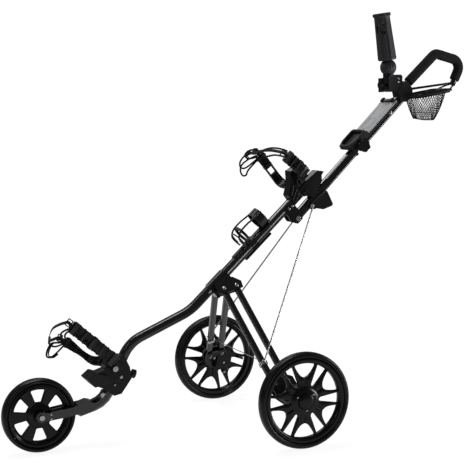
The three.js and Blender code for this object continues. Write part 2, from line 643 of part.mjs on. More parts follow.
const handle = new THREE.Group();
upper.add(handle);
const HANDLE_TUBE = [346, 552];
const cheekOutline = [
  [HANDLE_U - 8, 0], [HANDLE_U - 13, 10], [HANDLE_U - 8, 20], [HANDLE_U, 23], [345.7, 13.5], [345.7, -13.5],
  [HANDLE_U + 8, -3],
];
plastic(handle, 'handle_hinge_upper', cut(
  join(
    slab(cheekOutline, -15, -6 - GAP),
    slab(cheekOutline, 6 + GAP, 15),
    slab([[333, -8], [333, 13.5], [345.7, 13.5], [345.7, -13.5]], -15, 15),
    tubePlug(340, 376),
  ),
  pinHole(HANDLE_U, HANDLE_W, 4),
));
const consoleBolt = bolt([476, 0, 0], v3(0, 1, 0), 2.5, TUBE_W, 6, 3.5, 10);
painted(handle, 'handle_tube', join(straightTube(...HANDLE_TUBE), consoleBolt));
const lobes = Array.from({ length: 30 }, (_, k) => {
  const a = (2 * Math.PI * k) / 30;
  const r = 20 + 1.6 * Math.cos(6 * a);
  return [HANDLE_U + r * Math.cos(a), HANDLE_W + r * Math.sin(a)];
});
plastic(handle, 'handle_knob', join(
  slab(lobes, -64, -50),
  rod([HANDLE_U, -34, HANDLE_W], v3(0, 1, 0), 10, 33, 14),
  rod([HANDLE_U, -16, HANDLE_W], v3(0, 1, 0), 4, 66, 10),
));

const TRAY = { from: 276, step: 361, to: 509, half: 48, top: 36, lidSeat: 21 };
function consoleTray() {
  const side = [
    [TRAY.from, 30], [TRAY.from + 4, 24.5], [338, 24.5], [345, 14.5], [TRAY.to, 14.5],
    [TRAY.to, TRAY.lidSeat], [TRAY.step, TRAY.lidSeat], [TRAY.step, TRAY.top - 3],
    [TRAY.step - 3, TRAY.top], [TRAY.from + 8, TRAY.top],
  ];
  const h = TRAY.half;
  const plan = [
    [TRAY.from, -h + 26], [TRAY.from + 9, -h + 9], [TRAY.from + 28, -h], [TRAY.to - 5, -h], [TRAY.to, -h + 5],
    [TRAY.to, h - 5], [TRAY.to - 5, h], [TRAY.from + 28, h], [TRAY.from + 9, h - 9], [TRAY.from, h - 26],
  ];
  const body = toGeometry(toSolid(slab(side, -h, h)).intersect(toSolid(plate(plan, 0, 60))));
  const pocket = plate([[292, -30], [300, -36], [352, -36], [352, 36], [300, 36], [292, 30]], 27.5, 60);
  const well = box(368, 502, -43, 43, 17, 60);
  return cut(body, pocket, well, rod([HANDLE_U, -34, HANDLE_W], v3(0, 1, 0), 10 + 2 * GAP, 40, 14));
}
plastic(handle, 'console_tray', consoleTray());
const lidOutline = [
  [TRAY.step + GAP, -47], [505, -48], [509, -44], [509, 44], [505, 48], [TRAY.step + GAP, 47],
];
place(handle, 'console_lid', plate(lidOutline, TRAY.lidSeat + GAP, TRAY.lidSeat + 4.5), 0x8f9194, 0.4, 0.5);

// ---------------------------------------------------------------- handle loop
// Pieces drawn in the cart's own directions but carried by the handle.
const level = new THREE.Group();
level.position.set(...inUpper([0, 0, 0]));
level.rotation.y = UPPER_SLOPE;
handle.add(level);

// The loop is a bent tube under the foam; two thin wires lead from its free end back to the hub.
const LOOP = [[560, 0, 1057.6], [683, 0, 1166], [786, 0, 1137], [748, 0, 1060]];
const LOOP_RADII = [20, 30];
const LOOP_R = 10;
const WIRE_R = 3.2;
const foamStart = [577, 0, 1072.6];
const foamEnd = [755.6, 0, 1075.4];

function loopWires(radius) {
  return [-1, 1].map((side) => {
    const from = v3(752, side * 6, 1067);
    const along = v3(562, side * 13, 1049).sub(from);
    const middle = from.addScaledVector(along, 0.5);
    return rod(middle.toArray(), along, radius, along.length(), 10);
  });
}
painted(level, 'handle_loop', join(
  sweep(bend(LOOP, LOOP_RADII, 4), circle(LOOP_R, 10), circle(8.4, 6)), ...loopWires(WIRE_R),
));
place(level, 'handle_grip', sweep(
  bend([foamStart, LOOP[1], LOOP[2], foamEnd], LOOP_RADII, 4), circle(16.5, 12), circle(LOOP_R + 0.9, 8),
), 0x1b1c1e, 0.95, 0);

function handleHub() {
  const block = slab([
    [536, 1012], [556, 1010], [581, 1022], [583, 1052], [566, 1078], [548, 1074], [528, 1046],
  ], -21, 21);
  upper.updateMatrix();
  const tubeRoom = box(HANDLE_TUBE[0], HANDLE_TUBE[1] + GAP, -CHEEK, CHEEK, -grip, grip);
  const loopRoom = sweep(bend(LOOP, LOOP_RADII, 4), circle(LOOP_R + GAP, 10));
  return cut(block, tubeRoom.applyMatrix4(upper.matrix), loopRoom, ...loopWires(WIRE_R + GAP));
}
plastic(level, 'handle_hub', handleHub());

// ---------------------------------------------------------------- umbrella holder
const BALL = [503.8, 0, 1124.5];
const UMBRELLA_TILT = THREE.MathUtils.degToRad(-7.3);
function umbrellaClamp() {
  const block = slab([
    [494, 1052], [500, 1044], [525.5, 1044.5], [545.8, 1075.4], [545, 1080], [546, 1094], [540, 1100],
    [500, 1100], [494, 1094],
  ], -20, 20);
  const stem = rod([BALL[0], 0, 1098], v3(0, 0, 1), 11, 14, 16);
  const cup = rod([BALL[0], 0, 1102], v3(0, 0, 1), 18, 14, 20);
  const ballRoom = new THREE.SphereGeometry(28.2, 16, 10).translate(...BALL);
  return cut(join(block, stem, cup), ballRoom, rod([490, 0, 1067], v3(1, 0, 0), 5 + GAP, 50, 12));
}
plastic(level, 'umbrella_clamp', umbrellaClamp());
const wingKnob = join(
  rod([477, 0, 1067], v3(1, 0, 0), 11, 18, 14),
  box(469, 483, -7, 7, 1044, 1090),
  rod([498, 0, 1067], v3(1, 0, 0), 5, 32, 10),
);
plastic(level, 'umbrella_knob', wingKnob);

const BUTTON_DIR = v3(-0.5, -Math.sqrt(0.75), 0); // the way that the holder's release button faces
const buttonPoint = (reach) => BUTTON_DIR.clone().multiplyScalar(reach).setZ(128).toArray();

function umbrellaHolder() {
  const lobed = Array.from({ length: 24 }, (_, k) => {
    const a = (2 * Math.PI * k) / 24;
    const r = 26 + (k % 6 === 0 ? 2.5 : 0);
    return [r * Math.cos(a), r * Math.sin(a)];
  });
  const tube = plate(lobed, 22, 172);
  const lip = plate(circle(28.5, 24), 168, 177);
  const ball = new THREE.SphereGeometry(27, 16, 10);
  const bore = plate(circle(19, 20), 50, 200);
  const buttonRoom = rod(buttonPoint(22), BUTTON_DIR, 8 + GAP, 30, 14);
  return cut(join(tube, lip, ball), bore, buttonRoom);
}
const mast = new THREE.Group();
mast.position.set(...BALL);
mast.rotation.y = UMBRELLA_TILT;
level.add(mast);
place(mast, 'umbrella_holder', umbrellaHolder(), 0x3a3b3e, 0.5, 0);
plastic(mast, 'umbrella_button', rod(buttonPoint(25.5), BUTTON_DIR, 8, 12, 14));

// ---------------------------------------------------------------- basket
const RIM_TILT = 0.115;
const BASKET = { from: 594, to: 710, half: 56 };
const rimZ = (x) => 1023 + RIM_TILT * (x - 590);

// A closed tub: its top follows the rim, shrunk by inset and raised by lift, and it narrows to its base.
function tub(inset, lift) {
  const { from, to, half } = BASKET;
  const h = half - inset;
  const top = [[from + inset, -h], [to - inset, -h], [to - inset, h], [from + inset, h]]
    .map(([x, y]) => [x, y, rimZ(x) + lift]);
  const base = [[614, -24, 953], [664, -24, 946], [664, 24, 946], [614, 24, 953]]
    .map(([x, y, z]) => [x - Math.sign(x - 640) * inset, y - Math.sign(y) * inset, z + inset * 1.2]);
  const faces = [
    0, 1, 2, 0, 2, 3, 4, 6, 5, 4, 7, 6, 0, 4, 5, 0, 5, 1,
    1, 5, 6, 1, 6, 2, 2, 6, 7, 2, 7, 3, 3, 7, 4, 3, 4, 0,
  ];
  const geometry = new THREE.BufferGeometry();
  geometry.setAttribute('position', new THREE.Float32BufferAttribute([...top, ...base].flat(), 3));
  geometry.setIndex(faces);
  return geometry;
}
place(level, 'basket_net', cut(tub(0, -4.5), tub(3, 1)), 0x101113, 0.9, 0);

function rimPlan(grow) {
  const [x0, x1] = [BASKET.from - grow, BASKET.to + grow];
  const [y, z] = [BASKET.half - 6, BASKET.half + grow];
  const corner = 6 + grow;
  return [
    [x0, -y], [x0 + corner, -z], [x1 - corner, -z], [x1, -y],
    [x1, y], [x1 - corner, z], [x0 + corner, z], [x0, y],
  ];
}
const rimRing = plate(rimPlan(6), -4, 4, [rimPlan(-2)]).translate(-590, 0, 0);
plastic(level, 'basket_rim', rimRing.rotateY(-Math.atan(RIM_TILT)).translate(590, 0, 1023));

// ---------------------------------------------------------------- bottle cage
function bottleCage() {
  const base = box(-78, 92, -9, 9, grip, grip + 4);
  const clamp = box(-52, 66, -11, 11, -grip - 7, -grip);
  const band = cut(
    box(-14, 14, -CHEEK - 2, CHEEK + 2, -grip - 4, grip + 4), box(-20, 20, -CHEEK, CHEEK, -grip, grip),
  );
  const hoop = (end, length) => cut(
    slab(circle(31, 20), 0, length).rotateZ(Math.PI / 2),
    slab(circle(28, 20), -1, length + 1).rotateZ(Math.PI / 2),
  ).translate(end, 0, grip + 31.4);
  return join(base, clamp, band, hoop(84, 30), hoop(0, 9));
}
plastic(main, 'bottle_cage', bottleCage());

export default cart;
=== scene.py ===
"""Folding golf push cart: materials, detailed pieces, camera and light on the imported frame."""
import math

import bpy
from mathutils import Matrix, Vector


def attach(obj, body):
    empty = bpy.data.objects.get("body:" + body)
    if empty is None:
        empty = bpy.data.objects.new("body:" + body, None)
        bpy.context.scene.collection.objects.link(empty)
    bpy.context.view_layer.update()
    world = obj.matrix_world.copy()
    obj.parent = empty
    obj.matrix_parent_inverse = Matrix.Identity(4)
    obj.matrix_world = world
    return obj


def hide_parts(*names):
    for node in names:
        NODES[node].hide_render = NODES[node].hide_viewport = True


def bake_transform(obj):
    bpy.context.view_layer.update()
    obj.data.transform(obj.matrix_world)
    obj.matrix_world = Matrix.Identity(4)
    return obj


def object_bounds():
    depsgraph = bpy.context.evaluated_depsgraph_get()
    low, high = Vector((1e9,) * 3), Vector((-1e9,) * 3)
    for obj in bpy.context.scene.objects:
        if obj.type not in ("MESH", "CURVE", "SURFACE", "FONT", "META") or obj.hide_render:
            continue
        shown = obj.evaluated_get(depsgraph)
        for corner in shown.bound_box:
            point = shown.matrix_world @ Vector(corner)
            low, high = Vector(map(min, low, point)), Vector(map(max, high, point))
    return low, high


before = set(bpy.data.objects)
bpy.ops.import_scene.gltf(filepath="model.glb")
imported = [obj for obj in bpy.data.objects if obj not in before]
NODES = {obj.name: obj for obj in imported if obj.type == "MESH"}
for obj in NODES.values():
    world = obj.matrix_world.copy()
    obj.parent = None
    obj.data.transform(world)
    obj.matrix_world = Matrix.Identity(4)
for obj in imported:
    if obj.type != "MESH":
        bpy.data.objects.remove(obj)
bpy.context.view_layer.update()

# ------------------------------------------------------------------ driving sizes, in millimetres
MM = 0.001
AXLE_X = 21.3  # the rear axle in the row frame; every cart point below is measured from it
GAP = 0.3
REAR_R, REAR_TYRE_W, REAR_BEAD_R, REAR_Y = 146, 36, 129, 350
FRONT_R, FRONT_TYRE_W, FRONT_BEAD_R, FRONT_X = 113, 42, 98, -719
TUBE_W, TUBE_H = 30, 28
MAIN_SLOPE, MAIN_Z0, MAIN_END = math.radians(41.6), 579, 240
UPPER_SLOPE = math.radians(43.2)
FOLD_S, FOLD_OFF = 163, -48
UPPER_FROM, UPPER_TO = -12, 290
HANDLE_TUBE = (346, 552)
LEG_W, LEG_T, LEG_EYE = 20, 15, 11
LEG_TOP, LEG_FOOT, LEG_PITCH = (-117, 32, 444), (-55, 267, 177), (42, 0, 7)
SIDES = (("left", -1), ("right", 1))
GRIP = TUBE_H / 2 + GAP


def cart(x, y, z):
    """A point of the cart, measured from the rear axle, in the row frame."""
    return Vector(((x + AXLE_X) * MM, y * MM, z * MM))


def main(s, y, off):
    """A point along the main tube, y to the right and off square above its axis."""
    c, n = math.cos(MAIN_SLOPE), math.sin(MAIN_SLOPE)
    return cart(s * c - off * n, y, MAIN_Z0 + s * n + off * c)


def upper(u, y, w):
    """The same along the upper tube, from the fold pivot."""
    c, n = math.cos(UPPER_SLOPE), math.sin(UPPER_SLOPE)
    pivot = main(FOLD_S, 0, FOLD_OFF)
    return pivot + Vector((u * c - w * n, y, u * n + w * c)) * MM


BALL = cart(503.8, 0, 1124.5)
MAST_TILT = math.radians(-7.3)


def mast(x, y, z):
    """A point of the umbrella holder, from its ball."""
    c, n = math.cos(MAST_TILT), math.sin(MAST_TILT)
    return BALL + Vector((x * c + z * n, y, -x * n + z * c)) * MM


# ------------------------------------------------------------------ materials
def nodes_of(name):
    mat = bpy.data.materials.new(name)
    mat.use_nodes = True
    tree = mat.node_tree
    return mat, tree, tree.nodes["Principled BSDF"]


def noise(tree, coords, scale, detail=3.0, stretch=(1, 1, 1)):
    mapping = tree.nodes.new("ShaderNodeMapping")
    mapping.inputs["Scale"].default_value = stretch
    tree.links.new(coords, mapping.inputs["Vector"])
    node = tree.nodes.new("ShaderNodeTexNoise")
    node.inputs["Scale"].default_value = scale
    node.inputs["Detail"].default_value = detail
    tree.links.new(mapping.outputs["Vector"], node.inputs["Vector"])
    return node.outputs["Fac"]


def spread(tree, value, low, high, start=0.3, end=0.7):
    """Maps a 0 to 1 value onto a range."""
    node = tree.nodes.new("ShaderNodeMapRange")
    node.inputs["From Min"].default_value = start
    node.inputs["From Max"].default_value = end
    node.inputs["To Min"].default_value = low
    node.inputs["To Max"].default_value = high
    tree.links.new(value, node.inputs["Value"])
    return node.outputs["Result"]


def blend_colour(tree, factor, first, second):
    node = tree.nodes.new("ShaderNodeMix")
    node.data_type = "RGBA"
    tree.links.new(factor, node.inputs["Factor"])
    for socket, value in ((node.inputs["A"], first), (node.inputs["B"], second)):
        if isinstance(value, bpy.types.NodeSocket):
            tree.links.new(value, socket)
        else:
            socket.default_value = (*value, 1)
    return node.outputs["Result"]


def add_bump(tree, shader, height, distance):
    node = tree.nodes.new("ShaderNodeBump")
    node.inputs["Strength"].default_value = 1.0
    node.inputs["Distance"].default_value = distance
    tree.links.new(height, node.inputs["Height"])
    previous = shader.inputs["Normal"].links
    if previous:
        tree.links.new(previous[0].from_socket, node.inputs["Normal"])
    tree.links.new(node.outputs["Normal"], shader.inputs["Normal"])


PATCH_SCALE = 9  # the size of the patches of colour and gloss on every surface


def surface(name, colour, worn, rough, metal=0.0, grain=900, grain_depth=0.00003, specular=0.5,
            coat=0.0, stretch=(1, 1, 1), edge=None):
    """A moulded, painted or metal surface: patchy colour and roughness, fine grain, and paler edges that are
    partly wear and partly painted highlight.
    """
    mat, tree, shader = nodes_of(name)
    coords = tree.nodes.new("ShaderNodeTexCoord").outputs["Object"]
    patches = noise(tree, coords, PATCH_SCALE, 5.0)
    speckle = noise(tree, coords, grain * 0.35, 2.0, stretch)
    mixed = blend_colour(tree, spread(tree, patches, 0.0, 1.0), colour, worn)
    darker = tuple(c * 0.72 for c in colour)
    mixed = blend_colour(tree, spread(tree, speckle, 0.0, 0.5, 0.4, 0.75), mixed, darker)
    # Sharp edges, found by pointiness, are painted paler: partly wear, partly a painted highlight along the
    # edges.
    if edge:
        pointed = tree.nodes.new("ShaderNodeNewGeometry").outputs["Pointiness"]
        wear_and_edge_highlight = spread(tree, pointed, 0.0, 0.55, 0.53, 0.62)
        mixed = blend_colour(tree, wear_and_edge_highlight, mixed, edge)
    tree.links.new(mixed, shader.inputs["Base Color"])
    tree.links.new(spread(tree, patches, rough[0], rough[1]), shader.inputs["Roughness"])
    shader.inputs["Metallic"].default_value = metal
    shader.inputs["Specular IOR Level"].default_value = specular
    shader.inputs["Coat Weight"].default_value = coat
    shader.inputs["Coat Roughness"].default_value = 0.08
    add_bump(tree, shader, noise(tree, coords, grain, 2.0, stretch), grain_depth)
    return mat


def foam():
    """Closed-cell foam: small round cells and a dull, slightly dusty skin."""
    mat, tree, shader = nodes_of("foam")
    coords = tree.nodes.new("ShaderNodeTexCoord").outputs["Object"]
    cells = tree.nodes.new("ShaderNodeTexVoronoi")
    cells.inputs["Scale"].default_value = 620
    tree.links.new(coords, cells.inputs["Vector"])
    colour = blend_colour(tree, spread(tree, cells.outputs["Distance"], 0, 1, 0.1, 0.8),
                          (0.030, 0.030, 0.032), (0.010, 0.010, 0.011))
    dust = spread(tree, noise(tree, coords, 14, 5.0), 0.0, 0.45, 0.45, 0.8)
    tree.links.new(blend_colour(tree, dust, colour, (0.045, 0.045, 0.047)), shader.inputs["Base Color"])
    tree.links.new(spread(tree, noise(tree, coords, 60), 0.82, 0.97), shader.inputs["Roughness"])
    shader.inputs["Specular IOR Level"].default_value = 0.25
    add_bump(tree, shader, cells.outputs["Distance"], 0.00035)
    return mat


def webbing(name, colour, pale, rows, across):
    """Woven strap or cord on UVs in metres: u runs across it, v along it."""
    mat, tree, shader = nodes_of(name)
    uv = tree.nodes.new("ShaderNodeTexCoord").outputs["UV"]
    waves = []
    for direction, scale in (("X", across), ("Y", rows)):
        wave = tree.nodes.new("ShaderNodeTexWave")
        wave.bands_direction = direction
        wave.inputs["Scale"].default_value = scale
        wave.inputs["Distortion"].default_value = 0.6
        tree.links.new(uv, wave.inputs["Vector"])
        waves.append(wave.outputs["Fac"])
    weave = tree.nodes.new("ShaderNodeMath")
    weave.operation = "MULTIPLY"
    tree.links.new(waves[0], weave.inputs[0])
    tree.links.new(waves[1], weave.inputs[1])
    coords = tree.nodes.new("ShaderNodeTexCoord").outputs["Object"]
    fuzz = spread(tree, noise(tree, coords, 400, 4.0), 0.0, 0.6, 0.45, 0.75)
    colour = blend_colour(tree, weave.outputs["Value"], colour, pale)
    tree.links.new(blend_colour(tree, fuzz, colour, pale), shader.inputs["Base Color"])
    tree.links.new(spread(tree, weave.outputs["Value"], 0.75, 0.95, 0, 1), shader.inputs["Roughness"])
    shader.inputs["Sheen Weight"].default_value = 0.15
    shader.inputs["Specular IOR Level"].default_value = 0.3
    add_bump(tree, shader, weave.outputs["Value"], 0.0004)
    return mat


PAINT = surface("gloss_paint", (0.002, 0.002, 0.0025), (0.004, 0.004, 0.0045), (0.09, 0.16), grain=260,
                grain_depth=0.000012, specular=0.6, coat=0.6, edge=(0.04, 0.04, 0.042))
PLASTIC = surface("moulded_plastic", (0.0035, 0.0035, 0.004), (0.007, 0.007, 0.0075), (0.24, 0.36),
                  grain=1500, grain_depth=0.00003, specular=0.35, edge=(0.07, 0.07, 0.072))
TRAY = surface("tray_plastic", (0.010, 0.010, 0.011), (0.016, 0.016, 0.017), (0.45, 0.6), grain=1100,
               grain_depth=0.00006, specular=0.35, edge=(0.06, 0.06, 0.062))
HOLDER = surface("holder_plastic", (0.040, 0.041, 0.046), (0.052, 0.053, 0.058), (0.42, 0.55), grain=1300,
                 grain_depth=0.00005, specular=0.4, edge=(0.12, 0.12, 0.13))
PANEL = surface("panel", (0.50, 0.51, 0.52), (0.54, 0.55, 0.56), (0.45, 0.55), metal=0.1, grain=900,
                grain_depth=0.00001, specular=0.35, edge=(0.7, 0.7, 0.7))
WHEEL = surface("wheel_plastic", (0.0015, 0.0015, 0.002), (0.003, 0.003, 0.0035), (0.16, 0.26), grain=900,
                grain_depth=0.00002, specular=0.35, edge=(0.03, 0.03, 0.032))
TYRE = surface("tyre_rubber", (0.003, 0.003, 0.0035), (0.006, 0.006, 0.0065), (0.24, 0.34), grain=700,
               grain_depth=0.00005, specular=0.35, edge=(0.025, 0.025, 0.026))
STEEL = surface("steel", (0.55, 0.56, 0.57), (0.68, 0.68, 0.69), (0.2, 0.34), metal=1.0, grain=500,
                grain_depth=0.00001, stretch=(1, 1, 8))
# Pale trim used only for the strips along the main tube's sides: a painted highlight in place of the bright
# reflection line on the tube.
PAINTED_HIGHLIGHT_TRIM = surface("painted_highlight_trim", (0.86, 0.86, 0.87), (0.9, 0.9, 0.91), (0.3, 0.4), metal=0.35, grain=500,
               grain_depth=0.00001)
RING = surface("ring_metal", (0.28, 0.285, 0.29), (0.36, 0.365, 0.37), (0.32, 0.45), metal=0.85, grain=800,
               grain_depth=0.00003, edge=(0.6, 0.6, 0.6))
FOAM = foam()
WEB = webbing("webbing", (0.006, 0.006, 0.007), (0.028, 0.028, 0.030), 130, 190)
CORD = webbing("elastic_cord", (0.006, 0.006, 0.007), (0.022, 0.022, 0.024), 170, 240)
NET = webbing("net_cord", (0.008, 0.008, 0.009), (0.035, 0.035, 0.037), 320, 320)


# ------------------------------------------------------------------ mesh helpers
def add_mesh(name, verts, faces, mat, body, uvs=None, replaces=(), smooth=40):
    """A new piece from points in metres, shaded smooth up to an angle, riding on a body."""
    mesh = bpy.data.meshes.new(name)
    mesh.from_pydata([tuple(v) for v in verts], [], faces)
    mesh.validate()
    if uvs:
        layer = mesh.uv_layers.new(name="uv")
        for loop in mesh.loops:
            layer.data[loop.index].uv = uvs[loop.vertex_index]
    obj = bpy.data.objects.new(name, mesh)
    bpy.context.scene.collection.objects.link(obj)
    finish_piece(obj, mat, body, replaces, smooth)
    return obj


def finish_piece(obj, mat, body, replaces, smooth):
    obj.data.materials.clear()
    obj.data.materials.append(mat)
    shade(obj, smooth)
    if body:
        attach(obj, body)
    if replaces:
        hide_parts(*replaces)


def shade(obj, angle):
    for polygon in obj.data.polygons:
        polygon.use_smooth = True
    obj.data.set_sharp_from_angle(angle=math.radians(angle))


def bevel(obj, width, segments=3, angle=30):
    mod = obj.modifiers.new("bevel", "BEVEL")
    mod.width = width * MM
    mod.segments = segments
    mod.limit_method = "ANGLE"
    mod.angle_limit = math.radians(angle)
    mod.harden_normals = True
    mod.use_clamp_overlap = True


def dress(name, mat, width=1.2, segments=3, angle=32):
    """A CAD node that keeps its shape: welded corners, rounded edges and a finished material."""
    obj = NODES[name]
    obj.data.materials.clear()
    obj.data.materials.append(mat)
    weld = obj.modifiers.new("weld", "WELD")
    weld.merge_threshold = 0.00002
    if width:
        bevel(obj, width, segments, angle)
    mod = obj.modifiers.new("normals", "WEIGHTED_NORMAL")
    mod.keep_sharp = False
    shade_node(obj)
    return obj


def shade_node(obj):
    if obj.data.has_custom_normals:
        with bpy.context.temp_override(object=obj, active_object=obj, selected_objects=[obj]):
            bpy.ops.mesh.customdata_custom_splitnormals_clear()
    for polygon in obj.data.polygons:
        polygon.use_smooth = True


def rounded(corners, radii, steps=10):
    """A path through the corners, each turned with its own radius; corners are points in metres."""
    points = [corners[0].copy()]
    for i in range(1, len(corners) - 1):
        here = corners[i]
        back = (corners[i - 1] - here).normalized()
        on = (corners[i + 1] - here).normalized()
        half = back.angle(on) / 2
        radius = radii[i - 1] * MM
        centre = here + (back + on).normalized() * (radius / math.sin(half))
        first = here + back * (radius / math.tan(half)) - centre
        last = here + on * (radius / math.tan(half)) - centre
        turn = first.angle(last)
        for k in range(steps + 1):
            a = math.sin(turn * (1 - k / steps)) / math.sin(turn)
            b = math.sin(turn * k / steps) / math.sin(turn)
            points.append(centre + first * a + last * b)
    points.append(corners[-1].copy())
    return points


def smooth_path(points, per_span=8):
    """A smooth curve through the given points (Catmull-Rom)."""
    ends = [points[0] * 2 - points[1], *points, points[-1] * 2 - points[-2]]
    path = []
    for i in range(1, len(ends) - 2):
        a, b, c, d = ends[i - 1:i + 3]
        for k in range(per_span):
            t = k / per_span
            path.append(0.5 * (2 * b + (c - a) * t + (2 * a - 5 * b + 4 * c - d) * t * t
                               + (3 * b - a - 3 * c + d) * t ** 3))
    path.append(points[-1].copy())
    return path


def directions(points, normal):
    """Tangent, side and normal at each point of a path, carried along it without twist."""
    result = []
    count = len(points)
    for i, point in enumerate(points):
        ahead = points[min(i + 1, count - 1)] - point
        behind = point - points[max(i - 1, 0)]
        tangent = (ahead.normalized() + behind.normalized()).normalized()
        normal = (normal - tangent * normal.dot(tangent)).normalized()
        result.append((tangent, normal.cross(tangent), normal))
    return result


def sweep(points, section, normal, size=None, closed=True, caps=True):
    """Points, faces and UVs of a section carried along a path; section points are (side, normal) in mm."""
    verts, faces, uvs = [], [], []
    run = 0.0
    around = [0.0]
    for a, b in zip(section, section[1:]):
        around.append(around[-1] + math.dist(a, b) * MM)
    for i, ((_, side, up), point) in enumerate(zip(directions(points, normal), points)):
        if i:
            run += (point - points[i - 1]).length
        k = size(i / (len(points) - 1)) if size else (1, 1)
        for (x, y), u in zip(section, around):
            verts.append(point + side * (x * k[0] * MM) + up * (y * k[1] * MM))
            uvs.append((u, run))
    n = len(section)
    last = n if closed else n - 1
    for i in range(len(points) - 1):
        for j in range(last):
            a, b = i * n + j, i * n + (j + 1) % n
            faces.append((a, b, b + n, a + n))
    if caps:
        faces.append(tuple(range(n - 1, -1, -1)))
        faces.append(tuple(range((len(points) - 1) * n, len(points) * n)))
    return verts, faces, uvs


def ring_section(radius, count=20):
    return [(radius * math.cos(2 * math.pi * k / count), radius * math.sin(2 * math.pi * k / count))
            for k in range(count)]


def box_section(width, height, radius, steps=6):
    points = []
    for sx, sy, start in ((1, 1, 0), (-1, 1, 90), (-1, -1, 180), (1, -1, 270)):
        for k in range(steps + 1):
            a = math.radians(start + 90 * k / steps)
            points.append((sx * (width / 2 - radius) + radius * math.cos(a),
                           sy * (height / 2 - radius) + radius * math.sin(a)))
    return points


def tube(name, points, section, mat, body, normal=Vector((0, 0, 1)), replaces=(), size=None):
    verts, faces, uvs = sweep(points, section, normal, size)
    return add_mesh(name, verts, faces, mat, body, uvs, replaces)


def axis_frame(centre, axis):
    """A matrix with Z along axis, at a centre in metres."""
    return Matrix.Translation(centre) @ axis.to_track_quat("Z", "Y").to_matrix().to_4x4()


def lathe(profile, centre, axis, segments=72):
    """Points and faces of a profile of (radius, height) in mm turned about an axis."""
    matrix = axis_frame(centre, axis)
    verts, faces = [], []
    rows = []
    for r, h in profile:
        if abs(r) < 1e-6:
            rows.append([len(verts)])
            verts.append(matrix @ Vector((0, 0, h * MM)))
        else:
            rows.append(list(range(len(verts), len(verts) + segments)))
            for k in range(segments):
                a = 2 * math.pi * k / segments
                verts.append(matrix @ Vector((r * math.cos(a) * MM, r * math.sin(a) * MM, h * MM)))
    for low, high in zip(rows, rows[1:]):
        for k in range(segments):
            n = (k + 1) % segments
            if len(low) == 1 and len(high) == 1:
                continue
            if len(low) == 1:
                faces.append((low[0], high[n], high[k]))
            elif len(high) == 1:
                faces.append((low[k], low[n], high[0]))
            else:
                faces.append((low[k], low[n], high[n], high[k]))
    return verts, faces


def turned(name, profile, centre, axis, mat, body, replaces, segments):
    verts, faces = lathe(profile, centre, axis, segments)
    return add_mesh(name, verts, faces, mat, body, None, replaces, 35)


def together(parts):
    """Several (points, faces) put into one."""
    verts, faces = [], []
    for part in parts:
        shift = len(verts)
        verts += list(part[0])
        faces += [tuple(i + shift for i in face) for face in part[1]]
    return verts, faces


def round_corners(outline, radius, steps=4):
    """Rounds a closed outline's corners; radius is one number, or one for each corner."""
    result = []
    count = len(outline)
    for i, corner in enumerate(outline):
        r = radius[i] if isinstance(radius, (list, tuple)) else radius
        here = Vector((*corner, 0))
        back = Vector((*outline[i - 1], 0)) - here
        on = Vector((*outline[(i + 1) % count], 0)) - here
        half = back.angle(on) / 2
        if r <= 0 or half > 1.5:
            result.append(tuple(here.xy))
            continue
        reach = min(r / math.tan(half), back.length * 0.45, on.length * 0.45)
        r = reach * math.tan(half)
        centre = here + (back.normalized() + on.normalized()).normalized() * (r / math.sin(half))
        first = here + back.normalized() * reach - centre
        last = here + on.normalized() * reach - centre
        turn = first.angle(last)
        for k in range(steps + 1):
            a = math.sin(turn * (1 - k / steps)) / math.sin(turn)
            b = math.sin(turn * k / steps) / math.sin(turn)
            result.append(tuple((centre + first * a + last * b).xy))
    return result


def plate(name, outlines, low, high, matrix, mat, body, edge):
    """A plate with rounded edges, from low to high along the matrix's Z.

    Its outlines are closed and in mm: the first is its rim, the rest are holes."""
    curve = bpy.data.curves.new(name, "CURVE")
    curve.dimensions = "2D"
    curve.fill_mode = "BOTH"
    for outline in outlines:
        spline = curve.splines.new("POLY")
        spline.points.add(len(outline) - 1)
        for point, (x, y) in zip(spline.points, outline):
            point.co = (x * MM, y * MM, 0, 1)
        spline.use_cyclic_u = True
    curve.extrude = max((high - low) / 2 - edge, 0.01) * MM
    curve.bevel_depth = edge * MM
    curve.bevel_resolution = 2
    curve.offset = -edge * MM
    source = bpy.data.objects.new(name + "_outline", curve)
    bpy.context.scene.collection.objects.link(source)
    bpy.context.view_layer.update()
    graph = bpy.context.evaluated_depsgraph_get()
    mesh = bpy.data.meshes.new_from_object(source.evaluated_get(graph))
    bpy.data.objects.remove(source)
    mesh.transform(matrix @ Matrix.Translation((0, 0, (low + high) / 2 * MM)))
    mesh.name = name
    obj = bpy.data.objects.new(name, mesh)
    bpy.context.scene.collection.objects.link(obj)
    finish_piece(obj, mat, body, (), 40)
    return obj


def matrix_of(origin, x_axis, y_axis):
    z_axis = x_axis.cross(y_axis)
    return Matrix.Translation(origin) @ Matrix((x_axis, y_axis, z_axis)).transposed().to_4x4()


# ------------------------------------------------------------------ camera, light and floor
ROOM_LIGHT = 0.10  # what the cart sees of the room's walls
FLOOR_R = 1.5


def make_camera():
    """The photograph's view: a long lens from the cart's front left, level with its upper half."""
    yaw, pitch, roll = math.radians(22.84), math.radians(-6.76), math.radians(-1.66)
    forward = Vector((math.sin(yaw) * math.cos(pitch), math.cos(yaw) * math.cos(pitch), math.sin(pitch)))
    right = Vector((math.cos(yaw), -math.sin(yaw), 0))
    up = right.cross(forward)
    x_axis = right * math.cos(roll) + up * math.sin(roll)
    y_axis = up * math.cos(roll) - right * math.sin(roll)
    data = bpy.data.cameras.new("camera")
    data.lens = 100.8
    data.sensor_width = 36
    camera = bpy.data.objects.new("camera", data)
    camera.matrix_world = matrix_of(cart(-1654.1, -3766.0, 1104.0), x_axis, y_axis)
    bpy.context.scene.collection.objects.link(camera)
    bpy.context.scene.camera = camera


